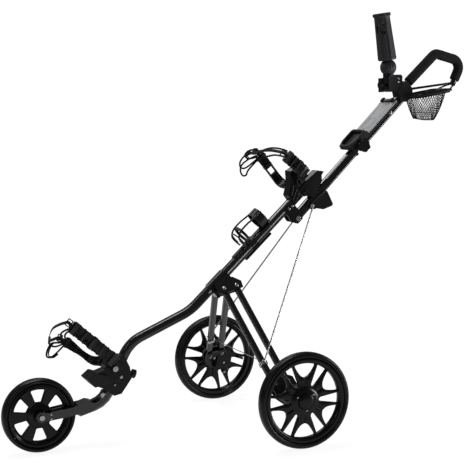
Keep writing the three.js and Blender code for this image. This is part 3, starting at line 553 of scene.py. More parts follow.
def area_light(name, place, target, size, power, height=None):
    data = bpy.data.lights.new(name, "AREA")
    data.shape = "RECTANGLE"
    data.size = size
    data.size_y = height or size
    data.energy = power
    light = bpy.data.objects.new(name, data)
    light.location = place
    light.rotation_euler = (Vector(target) - Vector(place)).to_track_quat("-Z", "Y").to_euler()
    bpy.context.scene.collection.objects.link(light)


def make_studio():
    """A white room: the camera sees white, while the cart mirrors a dim room, lamps and the floor."""
    world = bpy.data.worlds.new("studio")
    world.use_nodes = True
    tree = world.node_tree
    background = tree.nodes["Background"]
    background.inputs["Color"].default_value = (1, 1, 1, 1)
    seen = tree.nodes.new("ShaderNodeLightPath").outputs["Is Camera Ray"]
    tree.links.new(spread(tree, seen, ROOM_LIGHT, 1.05, 0, 1), background.inputs["Strength"])
    bpy.context.scene.world = world
    bpy.context.scene.view_settings.view_transform = "Standard"
    area_light("back_box", (0.0, 3.2, 2.6), (0.1, 0, 0.5), 3.0, 14, 0.5)
    area_light("left_box", (-3.4, -1.6, 2.6), (0, 0, 0.6), 0.3, 10, 2.4)
    area_light("top_box", (-0.6, 0.4, 3.6), (0, 0, 0.5), 0.9, 40, 2.0)
    area_light("right_strip", (2.4, -1.2, 0.5), (0.2, 0, 0.5), 0.35, 30, 1.8)
    floor_mat = surface("floor", (0.3, 0.3, 0.3), (0.32, 0.32, 0.32), (0.8, 0.9), grain=40,
                        grain_depth=0.00002)
    shader = floor_mat.node_tree.nodes["Principled BSDF"]
    shader.inputs["Emission Color"].default_value = (1, 1, 1, 1)
    seen = floor_mat.node_tree.nodes.new("ShaderNodeLightPath").outputs["Is Camera Ray"]
    lit = spread(floor_mat.node_tree, seen, 0.35, 0.9, 0, 1)
    floor_mat.node_tree.links.new(lit, shader.inputs["Emission Strength"])
    ring = [(FLOOR_R * math.cos(2 * math.pi * k / 96), FLOOR_R * math.sin(2 * math.pi * k / 96), 0)
            for k in range(96)]
    floor = add_mesh("floor", ring, [tuple(range(96))], floor_mat, None)
    floor.location.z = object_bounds()[0][2] - 0.0005


# ------------------------------------------------------------------ frame tubes
TUBE = box_section(TUBE_W, TUBE_H, 8)


def lower_tube_path(steps=16):
    corners = [cart(-600, 0, 109.8), cart(-515.1, 0, 130.9), cart(-423.6, 0, 303.1), cart(-219.3, 0, 384.2),
               main(MAIN_END, 0, 0)]
    return rounded(corners, [70, 110, 180], steps)


def frame_tubes():
    up = (main(0, 0, 10) - main(0, 0, 0)).normalized()
    tube("main_tube", lower_tube_path(), TUBE, PAINT, "lower_frame", Vector((0, 0, 1)),
         ("lower_tube",))
    for name, body, ends in (("upper_tube", "upper_frame", (UPPER_FROM, UPPER_TO)),
                             ("handle_tube", "handle", HANDLE_TUBE)):
        path = [upper(ends[0] + (ends[1] - ends[0]) * k / 6, 0, 0) for k in range(7)]
        tube(f"{name}_skin", path, TUBE, PAINT, body, up, (name,))
    # A thin pale strip along each side of the main tube is a painted highlight: it stands in for the
    # reflection line along the tube's side.
    for name, side in SIDES:
        edge = TUBE_W / 2
        highlight_strip = [(side * (edge - 0.4), 1.6), (side * (edge + 2.6), -1.4), (side * (edge + 2.6), -2.0),
                  (side * (edge - 0.4), -3.4)]
        path = [main(-215 + 35 * k, 0, 0) for k in range(12)]
        tube(f"main_tube_flange_{name}", path, highlight_strip[::side], PAINTED_HIGHLIGHT_TRIM, "lower_frame", up)
    wall_cap = box_section(TUBE_W - 5, TUBE_H - 5, 6)
    tube("upper_tube_plug", [upper(UPPER_FROM - 0.6, 0, 0), upper(UPPER_FROM + 2, 0, 0)], wall_cap, PLASTIC,
         "upper_frame", up)
    for name, side in SIDES:
        screw(f"console_screw_476_{name}", upper(476, side * TUBE_W / 2, 0), Vector((0, side, 0)), 6.2, 3.4,
              "handle")


# ------------------------------------------------------------------ fasteners
def head_profile(radius, height):
    """A domed head with a hexagon-sized recess in its middle."""
    dome = [(radius, 0), (radius, height * 0.35)]
    for k in range(1, 7):
        a = math.radians(90 * k / 7)
        dome.append((radius * (0.45 + 0.55 * math.cos(a)), height * (0.35 + 0.65 * math.sin(a))))
    return dome + [(radius * 0.42, height), (radius * 0.36, height * 0.93), (radius * 0.33, height * 0.45),
                   (0, height * 0.4)]


def screw(name, at, axis, radius, height, body, mat=STEEL):
    return turned(name, head_profile(radius, height), at, axis, mat, body, (), 28)


def through_bolt(name, centre, axis, grip, radius, height, shank, body, node):
    """A bolt with a domed head at one end, a nut at the other and its shank between."""
    axis = axis.normalized()
    half = grip / 2
    head = lathe(head_profile(radius, height), centre + axis * half * MM, axis, 28)
    stem = lathe([(0, -half), (shank, -half), (shank, half), (0, half)], centre, axis, 20)
    washer = lathe([(shank, 0), (radius, 0), (radius, height * 0.25), (shank, height * 0.25)],
                   centre - axis * half * MM, -axis, 28)
    nut = lathe([(0, height * 0.25), (radius * 0.9, height * 0.25), (radius * 0.92, height * 0.9),
                 (radius * 0.75, height), (0, height)], centre - axis * half * MM, -axis, 6)
    verts, faces = together([head, stem, washer, nut])
    return add_mesh(name, verts, faces, STEEL, body, None, (node,), 35)


# ------------------------------------------------------------------ legs
def leg_axes(side):
    """The front leg's upper pivot and its frame: forwards-to-back, pivot axis and up the leg."""
    top = cart(LEG_TOP[0], side * LEG_TOP[1], LEG_TOP[2])
    foot = cart(LEG_FOOT[0], side * LEG_FOOT[1], LEG_FOOT[2])
    up = (top - foot).normalized()
    y = up.cross(Vector(LEG_PITCH)).normalized()
    return top, foot, y.cross(up), y, up


def legs():
    pitch = Vector(LEG_PITCH) * MM
    section = box_section(LEG_T, LEG_W, 4.6)
    for name, side in SIDES:
        top, foot, x, y, up = leg_axes(side)
        outward = y * side
        for end, shift in (("front", Vector()), ("rear", pitch)):
            a, b = foot + shift - up * LEG_EYE * MM, top + shift + up * LEG_EYE * MM
            path = [a.lerp(b, k / 8) for k in range(9)]
            body = f"leg_{end}_{name}"
            tube(f"leg_tube_{end}_{name}", path, section, PAINT, body, x, (body,))
            through_bolt(f"leg_pivot_{end}_{name}", top + shift, outward, 21.8, 6.5, 3.6, 3, "lower_frame",
                         f"leg_bolt_{end}_{name}")
            for face, facing in (("in", -outward), ("out", outward)):
                screw(f"leg_foot_screw_{end}_{name}_{face}", foot + shift + facing * 12.3 * MM, facing, 6.7,
                      4.2, f"knuckle_{name}")
        lug = top.lerp(foot, 0.775)
        band = [lug + up * h * MM for h in (-6, -2, 2, 6)]
        tube(f"rod_lug_{name}", band, box_section(LEG_T + 5.6, LEG_W + 5.6, 5), STEEL, f"leg_front_{name}",
             x)
        screw(f"rod_lug_screw_{name}", lug + outward * (LEG_T / 2 + 3) * MM, outward, 4.6, 3.6,
              f"leg_front_{name}")
        tie_rod(name, side, lug, outward)
        for k, (place, height) in enumerate(((-8.9, 176.5), (-38, 162.4), (-4.4, 143.7), (-2.9, 111.2))):
            inner_screw(f"knuckle_screw_{k + 1}_{name}", cart(place, side * 262, height), -side,
                        f"knuckle_{name}")


def inner_screw(name, at, facing, body):
    """A bright screw on a black boss that stands off a casting's side."""
    axis = Vector((0, facing, 0))
    turned(f"{name}_boss", [(0, -14), (6.5, -14), (6, -0.4), (5, 0.4), (0, 0.4)], at, axis, PLASTIC, body,
           (), 28)
    screw(name, at, axis, 4.0, 3.0, body)


def tie_rod(name, side, lug, outward):
    """A steel tie rod with an eye at its lower end and its upper end at the fold joint."""
    low = lug + outward * (LEG_T / 2 + GAP + 6.5) * MM
    high = cart(204, side * 29, 688)
    along = (high - low).normalized()
    end = high - along * 7 * MM
    eye = ring_path(low, outward, 5.2, 24)
    tube(f"tie_rod_eye_{name}", eye, ring_section(1.9, 12), STEEL, f"tie_rod_{name}", outward)
    path = [low.lerp(end, k / 12) for k in range(13)]
    tube(f"tie_rod_shaft_{name}", path, ring_section(2.5, 16), STEEL, f"tie_rod_{name}", outward,
         (f"tie_rod_{name}",))


def ring_path(centre, axis, radius, count):
    start = axis.orthogonal().normalized()
    other = axis.cross(start)
    turns = [2 * math.pi * k / count for k in range(count + 1)]
    return [centre + (start * math.cos(a) + other * math.sin(a)) * radius * MM for a in turns]


# ------------------------------------------------------------------ wheels
def tyre_profile(radius, width, bead):
    """Bead to bead over a crowned tread with two grooves and a moulded line on each side."""
    h, rise = width / 2, radius - bead
    half = [(bead, h * 0.70), (bead + rise * 0.06, h * 0.80), (bead + rise * 0.18, h * 0.93),
            (bead + rise * 0.26, h * 0.95), (bead + rise * 0.30, h * 1.0), (bead + rise * 0.38, h * 1.0),
            (bead + rise * 0.42, h * 0.965), (bead + rise * 0.55, h * 0.96), (bead + rise * 0.70, h * 0.90),
            (bead + rise * 0.83, h * 0.79), (bead + rise * 0.92, h * 0.63), (bead + rise * 0.965, h * 0.46),
            (bead + rise * 0.972, h * 0.40), (bead + rise * 0.91, h * 0.37), (bead + rise * 0.91, h * 0.33),
            (bead + rise * 0.985, h * 0.30), (bead + rise * 0.996, h * 0.15)]
    profile = half + [(radius, 0)] + [(r, -y) for r, y in reversed(half)]
    return profile + [half[0]]


def spoke_window(inner, outer, mid, half_in, half_out):
    points = []
    for k in range(6):
        a = math.radians(mid - half_out + 2 * half_out * k / 5)
        points.append((outer * math.cos(a), outer * math.sin(a)))
    for sign in (1, -1):
        a = math.radians(mid + sign * half_in)
        points.append((inner * math.cos(a), inner * math.sin(a)))
    return points


def circle_outline(radius, count=96):
    return [(radius * math.cos(2 * math.pi * k / count), radius * math.sin(2 * math.pi * k / count))
            for k in range(count)]


def wheel_matrix(centre, side):
    """Outlines drawn in the wheel's plane as X and Z; the plate's thickness is along the outward side."""
    return matrix_of(centre, Vector((1, 0, 0)), Vector((0, 0, -side)))


def outward_lathe(name, profile, centre, side, mat, body, replaces=(), segments=96):
    return turned(name, profile, centre, Vector((0, side, 0)), mat, body, replaces, segments)


def rear_spoke(centre, side, mid, lean):
    """One of a pair of spokes, broad at the hub and slim at the barrel; lean says which of the two."""
    angle = math.radians(mid)
    out = Vector((math.cos(angle), 0, -math.sin(angle)))
    across = Vector((math.sin(angle), 0, math.cos(angle))) * lean
    axis = Vector((0, side, 0))
    rows = []
    for k in range(19):
        x = 40 + (111.6 - 40) * k / 18
        opening = max(0.0, min((x - 47) / 5, 1))
        slot = opening ** 0.5 * (6.1 + max(x - 50, 0) * 0.163)
        pointed = x * math.tan(math.radians(30))
        wall = pointed if x < 60 else 22.5 + 12 * math.exp((60 - x) / 10)
        rows.append((x, slot, wall + 2.6 * max(0, (x - 104) / 8), 7.2 - 0.8 * (x - 40) / 72))
    verts, faces = [], []
    count = 12
    for x, near, far, half in rows:
        middle, width = (near + far) / 2, (far - near) / 2
        for a, b in box_section(2 * width, 2 * half, min(2.4, width * 0.6), 2):
            verts.append(centre + (out * x + across * (middle + a) + axis * (b + 0.4)) * MM)
    for i in range(len(rows) - 1):
        for j in range(count):
            n = (j + 1) % count
            quad = (i * count + j, i * count + n, (i + 1) * count + n, (i + 1) * count + j)
            faces.append(quad if lean * side > 0 else quad[::-1])
    return verts, faces


def fork_rivets():
    for name, side in SIDES:
        for k, z in enumerate((117, 104)):
            screw(f"fork_rivet_{k + 1}_{name}", cart(-688, side * 33, z), Vector((0, side, 0)), 3.2, 1.6,
                  "lower_frame")


def rear_wheel(name, side, first):
    body, centre = f"rear_wheel_{name}", cart(0, side * REAR_Y, REAR_R)
    outward_lathe(f"{body}_rubber", tyre_profile(REAR_R, REAR_TYRE_W, REAR_BEAD_R), centre, side, TYRE,
                  body, (f"{body}_tyre",), 128)
    pieces = []
    for k in range(6):
        for lean in (-1, 1):
            pieces.append(rear_spoke(centre, side, first + 60 * k, lean))
    verts, faces = together(pieces)
    add_mesh(f"{body}_spokes", verts, faces, WHEEL, body, None, (), 50)
    barrel = [(REAR_BEAD_R - GAP, -13), (REAR_BEAD_R - GAP, 12), (126, 14.6), (122, 15), (118, 14.2),
              (114.5, 11), (112.6, 7), (112, 0), (112.6, -7), (114.5, -11), (118, -14.6), (126, -14.6),
              (REAR_BEAD_R - GAP, -13)]
    outward_lathe(f"{body}_barrel", barrel, centre, side, WHEEL, body, (f"{body}_rim",))
    hub = [(0, -22), (23, -22), (25, -20.5), (30, -9), (44, -7), (47, -5), (47, 5), (45.5, 7.4), (41, 8.6),
           (37, 11.6), (35, 12.6), (27.5, 13.4), (26.6, 12.4), (25.6, 12.4), (24.6, 14.5), (23.4, 17),
           (20, 18.6), (12, 19.8), (0, 20.4)]
    outward_lathe(f"{body}_hub", hub, centre, side, WHEEL, body)
    for k in range(3):
        a = math.radians(34 + 120 * k)
        at = centre + Vector((29.5 * math.cos(a), side * 12.6, 29.5 * math.sin(a))) * MM
        screw(f"{body}_hub_screw_{k + 1}", at, Vector((0, side, 0)), 3.0, 2.2, body)
    for k in range(12):
        rib_at(f"{body}_rib_{k + 1}", body, centre, side, k)


def rib_at(name, body, centre, side, k):
    """A short moulded rib between the hub and the barrel's inner face, behind each spoke."""
    a = math.radians(15 + 30 * k)
    out = Vector((math.cos(a), 0, math.sin(a)))
    start = centre + out * 31 * MM - Vector((0, side * 12, 0)) * MM
    end = centre + out * 45 * MM - Vector((0, side * 7.5, 0)) * MM
    verts, faces, uvs = sweep([start, start.lerp(end, 0.5), end], box_section(3, 8, 1.2, 2),
                              Vector((0, side, 0)))
    add_mesh(name, verts, faces, WHEEL, body, uvs)


def front_wheel():
    body, centre = "front_wheel", cart(FRONT_X, 0, FRONT_R)
    outward_lathe("front_wheel_rubber", tyre_profile(FRONT_R, FRONT_TYRE_W, FRONT_BEAD_R), centre, -1, TYRE,
                  body, ("front_wheel_tyre",), 112)
    windows = [round_corners(spoke_window(41, 79, -(30 + 60 * k), 13, 16.5), [4] + [0] * 4 + [4, 3.5, 3.5])
               for k in range(6)]
    matrix = wheel_matrix(centre, -1)
    plate("front_wheel_spokes", [circle_outline(84), *windows], -7, 7, matrix, WHEEL, body,
          2.2)
    for k in range(6):
        frame_window(f"front_window_lip_{k + 1}", spoke_window(39, 81, -(30 + 60 * k), 16, 18.6), matrix,
                     body)
    barrel = [(FRONT_BEAD_R - GAP, -15), (FRONT_BEAD_R - GAP, 14), (95, 16.6), (91, 17), (88.5, 15.5),
              (86.5, 13), (83.4, 12), (82, 8), (82, -8), (83.4, -12), (86.5, -13), (88.5, -15.5), (91, -17),
              (95, -16.6), (FRONT_BEAD_R - GAP, -15)]
    outward_lathe("front_wheel_barrel", barrel, centre, -1, WHEEL, body,
                  ("front_wheel_rim",))
    half = [(5.6, 25), (15, 25), (17, 23.6), (18, 15), (20, 12.5), (26, 11.5), (29, 10), (36, 9), (38, 6)]
    hub = half + [(r, -y) for r, y in reversed(half)] + [half[0]]
    outward_lathe("front_wheel_hub", hub, centre, -1, WHEEL, body)


def frame_window(name, outline, matrix, body):
    """A raised lip round a window of the rim."""
    path = [matrix @ Vector((x * MM, y * MM, 7.0 * MM))
            for x, y in round_corners(outline, [4] + [0] * 4 + [4, 4, 4], 5)]
    path.append(path[0].copy())
    verts, faces, uvs = sweep(path, ring_section(1.1, 8), matrix.to_3x3() @ Vector((0, 0, 1)), None, True,
                              False)
    add_mesh(name, verts, faces, WHEEL, body, uvs)


# ------------------------------------------------------------------ bag cradles
def arm_section(width, thick, lip=3.2, web=4.4):
    """A channel's cross-section: a web with a raised lip along each edge, on both faces."""
    w, t, b = width / 2, thick / 2, web / 2
    outline = [(t, w), (-t, w), (-t, w - lip), (-b, w - lip), (-b, lip - w), (-t, lip - w), (-t, -w),
               (t, -w), (t, lip - w), (b, lip - w), (b, w - lip), (t, w - lip)]
    return round_corners(outline, 0.8, 2)


def arm(name, points, width, ribs):
    """The near arm of a cradle: a ribbed channel with clips, side rails and rows of teeth on both faces."""
    path = resample(rounded([main(*p) for p in points], [9, 26], 10), 46)
    pieces = [sweep(path, arm_section(width, ARM_T), ALONG)[:2]]
    frames = directions(path, ALONG)
    first = 10
    for k in range(ribs):
        i = first + round((len(path) - 3 - first) * k / (ribs - 1))
        spine = [path[i] - frames[i][2] * (width / 2 - 2) * MM,
                 path[i] + frames[i][2] * (width / 2 - 2) * MM]
        pieces.append(sweep(spine, box_section(2.2, ARM_T - 0.8, 0.7, 2), frames[i][1])[:2])
    for i, length, wider, thicker in ((18, 15, 7, 8), (25, 8, 4, 5), (31, 11, 8, 5), (37, 6, 4, 7),
                                      (43, 13, 6, 6)):
        tangent, side, up = frames[i]
        spine = [path[i] - tangent * length / 2 * MM, path[i] + tangent * length / 2 * MM]
        pieces.append(sweep(spine, box_section(ARM_T + thicker, width + wider, 1.6, 3), up)[:2])
    for edge in (-1, 1):
        for face in (-1, 1):
            rail = [path[i] + frames[i][2] * edge * (width / 2 + 0.6) * MM + frames[i][1] * face * 3.4 * MM
                    for i in range(17, 44)]
            pieces.append(sweep(rail, box_section(2.6, 2.2, 0.8, 2), ALONG)[:2])
        for i in range(20, 43, 3):
            tangent, side, up = frames[i]
            out = path[i] + up * edge * (width / 2 + 1.4) * MM
            pieces.append(sweep([out - tangent * 1.6 * MM, out + tangent * 1.6 * MM],
                                box_section(6.5, 4.2, 1, 2), up)[:2])
    verts, faces = together(pieces)
    add_mesh(f"{name}_skin", verts, faces, PLASTIC, "lower_frame", None, (name,))
    for k, (i, shift) in enumerate(((21, -8), (28, 7), (34, -6), (40, 6))):
        tangent, side, up = frames[i]
        for face in (-1, 1):
            at = path[i] + up * shift * MM + side * face * (ARM_T / 2 - 0.4) * MM
            turned(f"{name}_stud_{k + 1}_{'in' if face < 0 else 'out'}", head_profile(3.6, 4.2), at,
                   side * face, PLASTIC, "lower_frame", (), 20)
    return path, frames


def far_arm(name, points, width, narrow, window):
    """The far arm: a smooth band between two rails, narrower towards its tip, with a gap at window."""
    path = resample(rounded([main(*p) for p in points], [9, 26], 10), 60)
    frames = directions(path, ALONG)
    last = len(path) - 1

    def taper(t):
        return 1 - narrow * math.sin(math.pi * min(max((t - 0.35) / 0.6, 0), 1)) ** 2
    pieces = []
    for a, b in ((0, window[0]), (window[1], last)):
        pieces.append(sweep(path[a:b + 1], box_section(ARM_T - 3.4, width - 4, 2, 4), ALONG,
                            lambda t, a=a, b=b: (1, taper((a + t * (b - a)) / last)))[:2])
    for edge in (-1, 0, 1):
        if edge or window[0] + 1 >= window[1]:
            rail = [p + f[2] * edge * (width / 2 - 2.2) * taper(i / last) * MM
                    for i, (p, f) in enumerate(zip(path, frames))]
            pieces.append(sweep(rail, box_section(ARM_T if edge else ARM_T - 1.8, 4.4 if edge else 2.2, 1.0,
                                                  3), ALONG)[:2])
    for i, length, wider in ((16, 5, 2), (window[0], 4, 1), (window[1], 4, 1), (46, 6, 2), (56, 9, 4)):
        tangent, _, up = frames[i]
        spine = [path[i] - tangent * length / 2 * MM, path[i] + tangent * length / 2 * MM]
        pieces.append(sweep(spine, box_section(ARM_T + 2.6, width * taper(i / last) + wider, 1.6, 3),
                            up)[:2])
    verts, faces = together(pieces)
    add_mesh(f"{name}_skin", verts, faces, PLASTIC, "lower_frame", None, (name,))


def resample(path, count):
    lengths = [0.0]
    for a, b in zip(path, path[1:]):
        lengths.append(lengths[-1] + (b - a).length)
    result = []
    i = 0
    for k in range(count):
        want = lengths[-1] * k / (count - 1)
        while i < len(path) - 2 and lengths[i + 1] < want:
            i += 1
        span = lengths[i + 1] - lengths[i]
        result.append(path[i].lerp(path[i + 1], (want - lengths[i]) / span if span else 0))
    return result


def toothed_plate(name, path, frames, start, end, width, teeth, lift):
    """A second layer on an arm with a row of teeth across it."""
    pieces = []
    face = 1 if lift > 0 else -1
    for k in range(teeth):
        i = round(start + (end - start) * k / (teeth - 1))
        _, side, up = frames[i]
        centre = path[i] + side * lift * MM
        spine = [centre - up * width / 2 * MM, centre + up * width / 2 * MM]
        tooth = [(-2.0, -1.2), (2.0, -1.2), (0.6, 2.2), (-0.6, 2.2)]
        pieces.append(sweep(spine, tooth, side * face)[:2])
    back = [path[i] + frames[i][1] * (lift - 1.6 * face) * MM for i in range(start, end + 1)]
    pieces.append(sweep(back, box_section(1.6, width + 3, 0.7, 2), frames[start][2])[:2])
    verts, faces = together(pieces)
    add_mesh(name, verts, faces, PLASTIC, "lower_frame", None, ())


def free_cord(name, points, radius):
    """An elastic cord along the points."""
    obj = tube(name, points, ring_section(radius, 12), CORD, "lower_frame")


def flat_strap(name, points, width, thick, normal, replaces=()):
    tube(name, points, box_section(thick, width, 0.7, 3), WEB, "lower_frame", normal, replaces)


def loop_buckle(name, centre, x_axis, y_axis, width, height, bar=3.2):
    """A rectangular plastic loop with a middle bar, as straps are threaded through."""
    outer = round_corners([(-width / 2, -height / 2), (width / 2, -height / 2), (width / 2, height / 2),
                           (-width / 2, height / 2)], 3)
    holes = []
    for sign in (-1, 1):
        x0, x1 = sorted((sign * bar / 2, sign * (width / 2 - bar)))
        y = height / 2 - bar
        holes.append(round_corners([(x0, -y), (x1, -y), (x1, y), (x0, y)], 1.5))
    return plate(name, [outer, *holes], -1.8, 1.8, matrix_of(centre, x_axis, y_axis), PLASTIC,
                 "lower_frame", 0.9)


# Routes over the cradles, as (along the main tube, to the right, above its axis).
LOWER_STRAP = [(-597, -100, 282.4), (-599, -101, 300), (-634, -20, 292), (-662, 40, 255),
               (-634, 101, 219), (-628, 100, 198.4)]
UPPER_STRAP = [(246, -100, 158.4), (243.4, -101, 172), (236, -30, 186), (214, 40, 194),
               (204, 84, 190), (236, 101, 172), (240, 100, 154.4)]
UPPER_LOOPS = (
    [(244, 98, 156), (240, 98, 177), (221, 99, 191), (203, 101, 189), (204, 103, 172), (232, 104, 152)],
    [(238, 97, 166), (218, 97, 186), (196, 97, 190), (174, 99, 185), (165, 101, 170), (180, 103, 156),
     (234, 104, 148)],
    [(236, 100, 158), (200, 98, 172), (172, 100, 174), (156, 100, 163), (152, 101, 147),
     (162, 102, 139), (180, 103, 145), (236, 104, 146)],
)
LOWER_LOOPS = (
    [(-632, 98, 194), (-650, 97, 214), (-664, 98, 224), (-687, 100, 217), (-700, 101, 205),
     (-694, 102, 193), (-676, 103, 189), (-634, 104, 188)],
    [(-628, 97, 192), (-640, 96, 220), (-656, 97, 234), (-668, 99, 226), (-660, 102, 206),
     (-630, 104, 190)],
)
UPPER_BUNGEES = (
    [(246, 98, 150), (252, 84, 162), (262, 45, 165), (265, 0, 166), (262, -60, 165), (254, -99, 153)],
    [(242, 98, 140), (248, 70, 141), (253, 30, 144), (253, 0, 146), (246, -60, 152), (240, -99, 150)],
)
LOWER_BUNGEES = (
    [(-630, 99, 196), (-628, 84, 222), (-616, 60, 236), (-594, 30, 236), (-592, -30, 250),
     (-598, -80, 262), (-598, -99, 272)],
    [(-624, 99, 192), (-618, 84, 214), (-604, 60, 224), (-590, 20, 228), (-588, -40, 244),
     (-592, -99, 268)],
)
ALONG = (main(1, 0, 0) - main(0, 0, 0)).normalized()
ARM_T = 9


def cradle(which, near, far, window, narrow, strap_points, loops, bungees):
    path, frames = arm(f"{which}_arm_left", *near)
    for face, (start, end) in ((1, (20, 32)), (-1, (28, 41))):
        toothed_plate(f"{which}_teeth_{'out' if face > 0 else 'in'}", path, frames, start, end, near[1] - 9,
                      7, face * (ARM_T / 2 + 1.6))
    far_arm(f"{which}_arm_right", *far, narrow, window)
    route = smooth_path([main(*p) for p in strap_points], 9)
    flat_strap(f"{which}_strap_web", route, 10, 2.0, ALONG, (f"{which}_strap",))
    for k, points in enumerate(bungees):
        free_cord(f"{which}_bungee_{k + 1}", smooth_path([main(*p) for p in points], 8), 3.1)
    for k, points in enumerate(loops):
        free_cord(f"{which}_loop_{k + 1}", smooth_path([main(*p) for p in points], 8), 2.9)
    band = smooth_path([main(s + 5, y + 1, off - 4) for s, y, off in loops[0][:-1]], 8)
    flat_strap(f"{which}_band", band, 15, 2.4, Vector((0, 1, 0)))
    for k, place in enumerate((0.14, 0.62, 0.84)):
        i = round(place * (len(route) - 1))
        tangent, side, up = directions(route, ALONG)[i]
        loop_buckle(f"{which}_buckle_{k + 1}", route[i] + side * 2.2 * MM, up, tangent, 24, 19)


def lower_cradle():
    cradle("lower", ([(-588, -27.9, 44), (-588, -27.9, 84), (-578, -90, 98), (-597, -100, 282)], 34, 15),
           ([(-590, 27.9, 44), (-590, 27.9, 80), (-614, 88, 92), (-628, 100, 198)], 30), (30, 31), 0.42,
           LOWER_STRAP, LOWER_LOOPS, LOWER_BUNGEES)
    dress("lower_bag_bracket", PLASTIC, 2.0)
    dress("bracket_knob", PLASTIC, 1.2)
    dress("bracket_bolt", STEEL, 1.0)
    side_ribs("lower", [((-602, 62), (-572, 62)), ((-606, 46), (-570, 44)), ((-610, 38), (-600, 10))], 26)
    for name, side in SIDES:
        for k, (s, off, r) in enumerate(((-594, 27, 5.2), (-625, 25, 3.2))):
            screw(f"lower_bracket_screw_{k + 1}_{name}", main(s, side * 26, off), Vector((0, side, 0)), r,
                  2.4, "lower_frame")


def side_ribs(which, lines, y):
    """Moulded ribs on both side faces of a cradle's block; each line runs between two (S, height) points."""
    for name, side in SIDES:
        pieces = []
        for start, end in lines:
            a, b = main(start[0], side * y, start[1]), main(end[0], side * y, end[1])
            pieces.append(sweep([a, a.lerp(b, 0.5), b], box_section(3.2, 3.0, 1, 2),
                                Vector((0, side, 0)))[:2])
        verts, faces = together(pieces)
        add_mesh(f"{which}_block_ribs_{name}", verts, faces, PLASTIC, "lower_frame")


def upper_cradle():
    cradle("upper", ([(262, -26.8, 30), (262, -26.8, 56), (258, -92, 68), (246, -100, 158)], 34, 11),
           ([(236, 26.8, 56), (236, 26.8, 34), (228, 92, 28), (240, 100, 154)], 32), (36, 44), 0.1,
           UPPER_STRAP, UPPER_LOOPS, UPPER_BUNGEES)
    dress("upper_bag_bracket", PLASTIC, 2.4)
    side_ribs("upper", [((232, 30), (252, 70)), ((244, 28), (266, 66)), ((257, 28), (276, 58)),
                        ((194, 24), (222, 44)), ((190, 12), (222, 26)), ((198, 4), (222, 14))], 26.6)
    for name, side in SIDES:
        for k, s in enumerate((160.5, 175)):
            screw(f"fold_plate_screw_{k + 1}_{name}", main(s, side * 22.0, -3.2), Vector((0, side, 0)), 3.8,
                  2.2, "lower_frame")


# ------------------------------------------------------------------ handle
LID_TOP = 25.5
LOOP = [(560, 0, 1057.6), (683, 0, 1166), (786, 0, 1137), (748, 0, 1060)]
LOOP_RADII = [20, 30]
FOAM_ENDS = ((577, 0, 1072.6), (755.6, 0, 1075.4))


def handle_loop():
    corners = [cart(*p) for p in LOOP]
    side = Vector((0, 1, 0))
    tube("handle_loop_skin", resample(rounded(corners, LOOP_RADII, 12), 120), ring_section(10, 28), PAINT,
         "handle", side, ("handle_loop",))
    for name, sign in SIDES:
        wire = [cart(752, sign * 6, 1067).lerp(cart(562, sign * 13, 1049), k / 10) for k in range(11)]
        tube(f"handle_wire_{name}", wire, ring_section(3.2, 14), PAINT, "handle", side)
    turned("handle_loop_cap", [(0, 0), (8, 0), (9.6, 1.2), (10, 3), (10, 6)], cart(*LOOP[-1]),
           corners[2] - corners[3], PLASTIC, "handle", (), 24)
    route = rounded([cart(*FOAM_ENDS[0]), corners[1], corners[2], cart(*FOAM_ENDS[1])], [20, 30], 14)
    route = resample(route, 150)

    def swell(t):
        ends = min(t, 1 - t) * 60
        rounding = math.sqrt(max(0.0, 1 - (1 - min(ends, 1)) ** 2)) * 0.26 + 0.74
        k = rounding * (1 + 0.006 * math.sin(37 * t) + 0.004 * math.sin(91 * t + 1))
        return k, k
    foam_piece = tube("handle_foam", route, ring_section(16.5, 36), FOAM, "handle", side,
                      ("handle_grip",), swell)


def console():
    dress("console_tray", TRAY, 2.2, 3)
    lip = [upper(x, y, 35.2) for x, y in round_corners([(287, -41), (357, -41), (357, 41), (287, 41)],
            [26, 10, 10, 26], 8)]
    tube("console_cup_lip", [*lip, lip[0].copy()], ring_section(4.2, 14), TRAY, "handle",
         Vector((0, 0, 1)))
    dress("console_lid", PANEL, 1.4)
    for k, y in enumerate((-30, 30)):
        path = [upper(372 + 22 * i, y, LID_TOP + 0.2) for i in range(6)]
        tube(f"console_lid_rib_{k + 1}", path, box_section(1.0, 2.2, 0.4, 2), PANEL, "console_lid",
             Vector((0, 1, 0)))
    outline = round_corners([(378, -20), (424, -20), (424, 20), (378, 20)], 8, 6)
    up = (upper(0, 0, 1) - upper(0, 0, 0)).normalized()
    x_axis = (upper(1, 0, 0) - upper(0, 0, 0)).normalized()
    ring = [upper(x, y, LID_TOP) for x, y in outline]
    ring.append(ring[0].copy())
    tube("console_lid_frame", ring, ring_section(0.9, 8), PANEL, "console_lid", up)
    for name, side in SIDES:
        screw(f"console_lid_screw_{name}", upper(500, side * 38, LID_TOP - 0.4), up, 3.4, 1.8,
              "console_lid", PANEL)
        grip = [upper(486 + 3 * i, side * 46, LID_TOP - 0.8) for i in range(4)]
        tube(f"console_lid_grip_{name}", grip, box_section(2.4, 3.4, 0.8, 2), PLASTIC, "console_lid",
             up)
        hook = [upper(497, side * 30, LID_TOP + 3), upper(503, side * 30, LID_TOP + 9),
                upper(511, side * 30, LID_TOP + 6)]
        tube(f"console_hook_{name}", smooth_path(hook, 5), box_section(12, 4, 1.6, 3), PLASTIC,
             "console_lid", up)
    clasp = [upper(503, y, LID_TOP + 1.5 + 2.5 * math.cos(math.pi * y / 96)) for y in range(-46, 47, 4)]
    tube("console_clasp", clasp, box_section(11, 7, 2.6, 4), PLASTIC, "console_lid", up)
    hinge = [upper(361.8, y, 25.6) for y in (-40, -20, 0, 20, 40)]
    tube("console_lid_hinge", hinge, ring_section(2.0, 14), PLASTIC, "console_lid", x_axis)


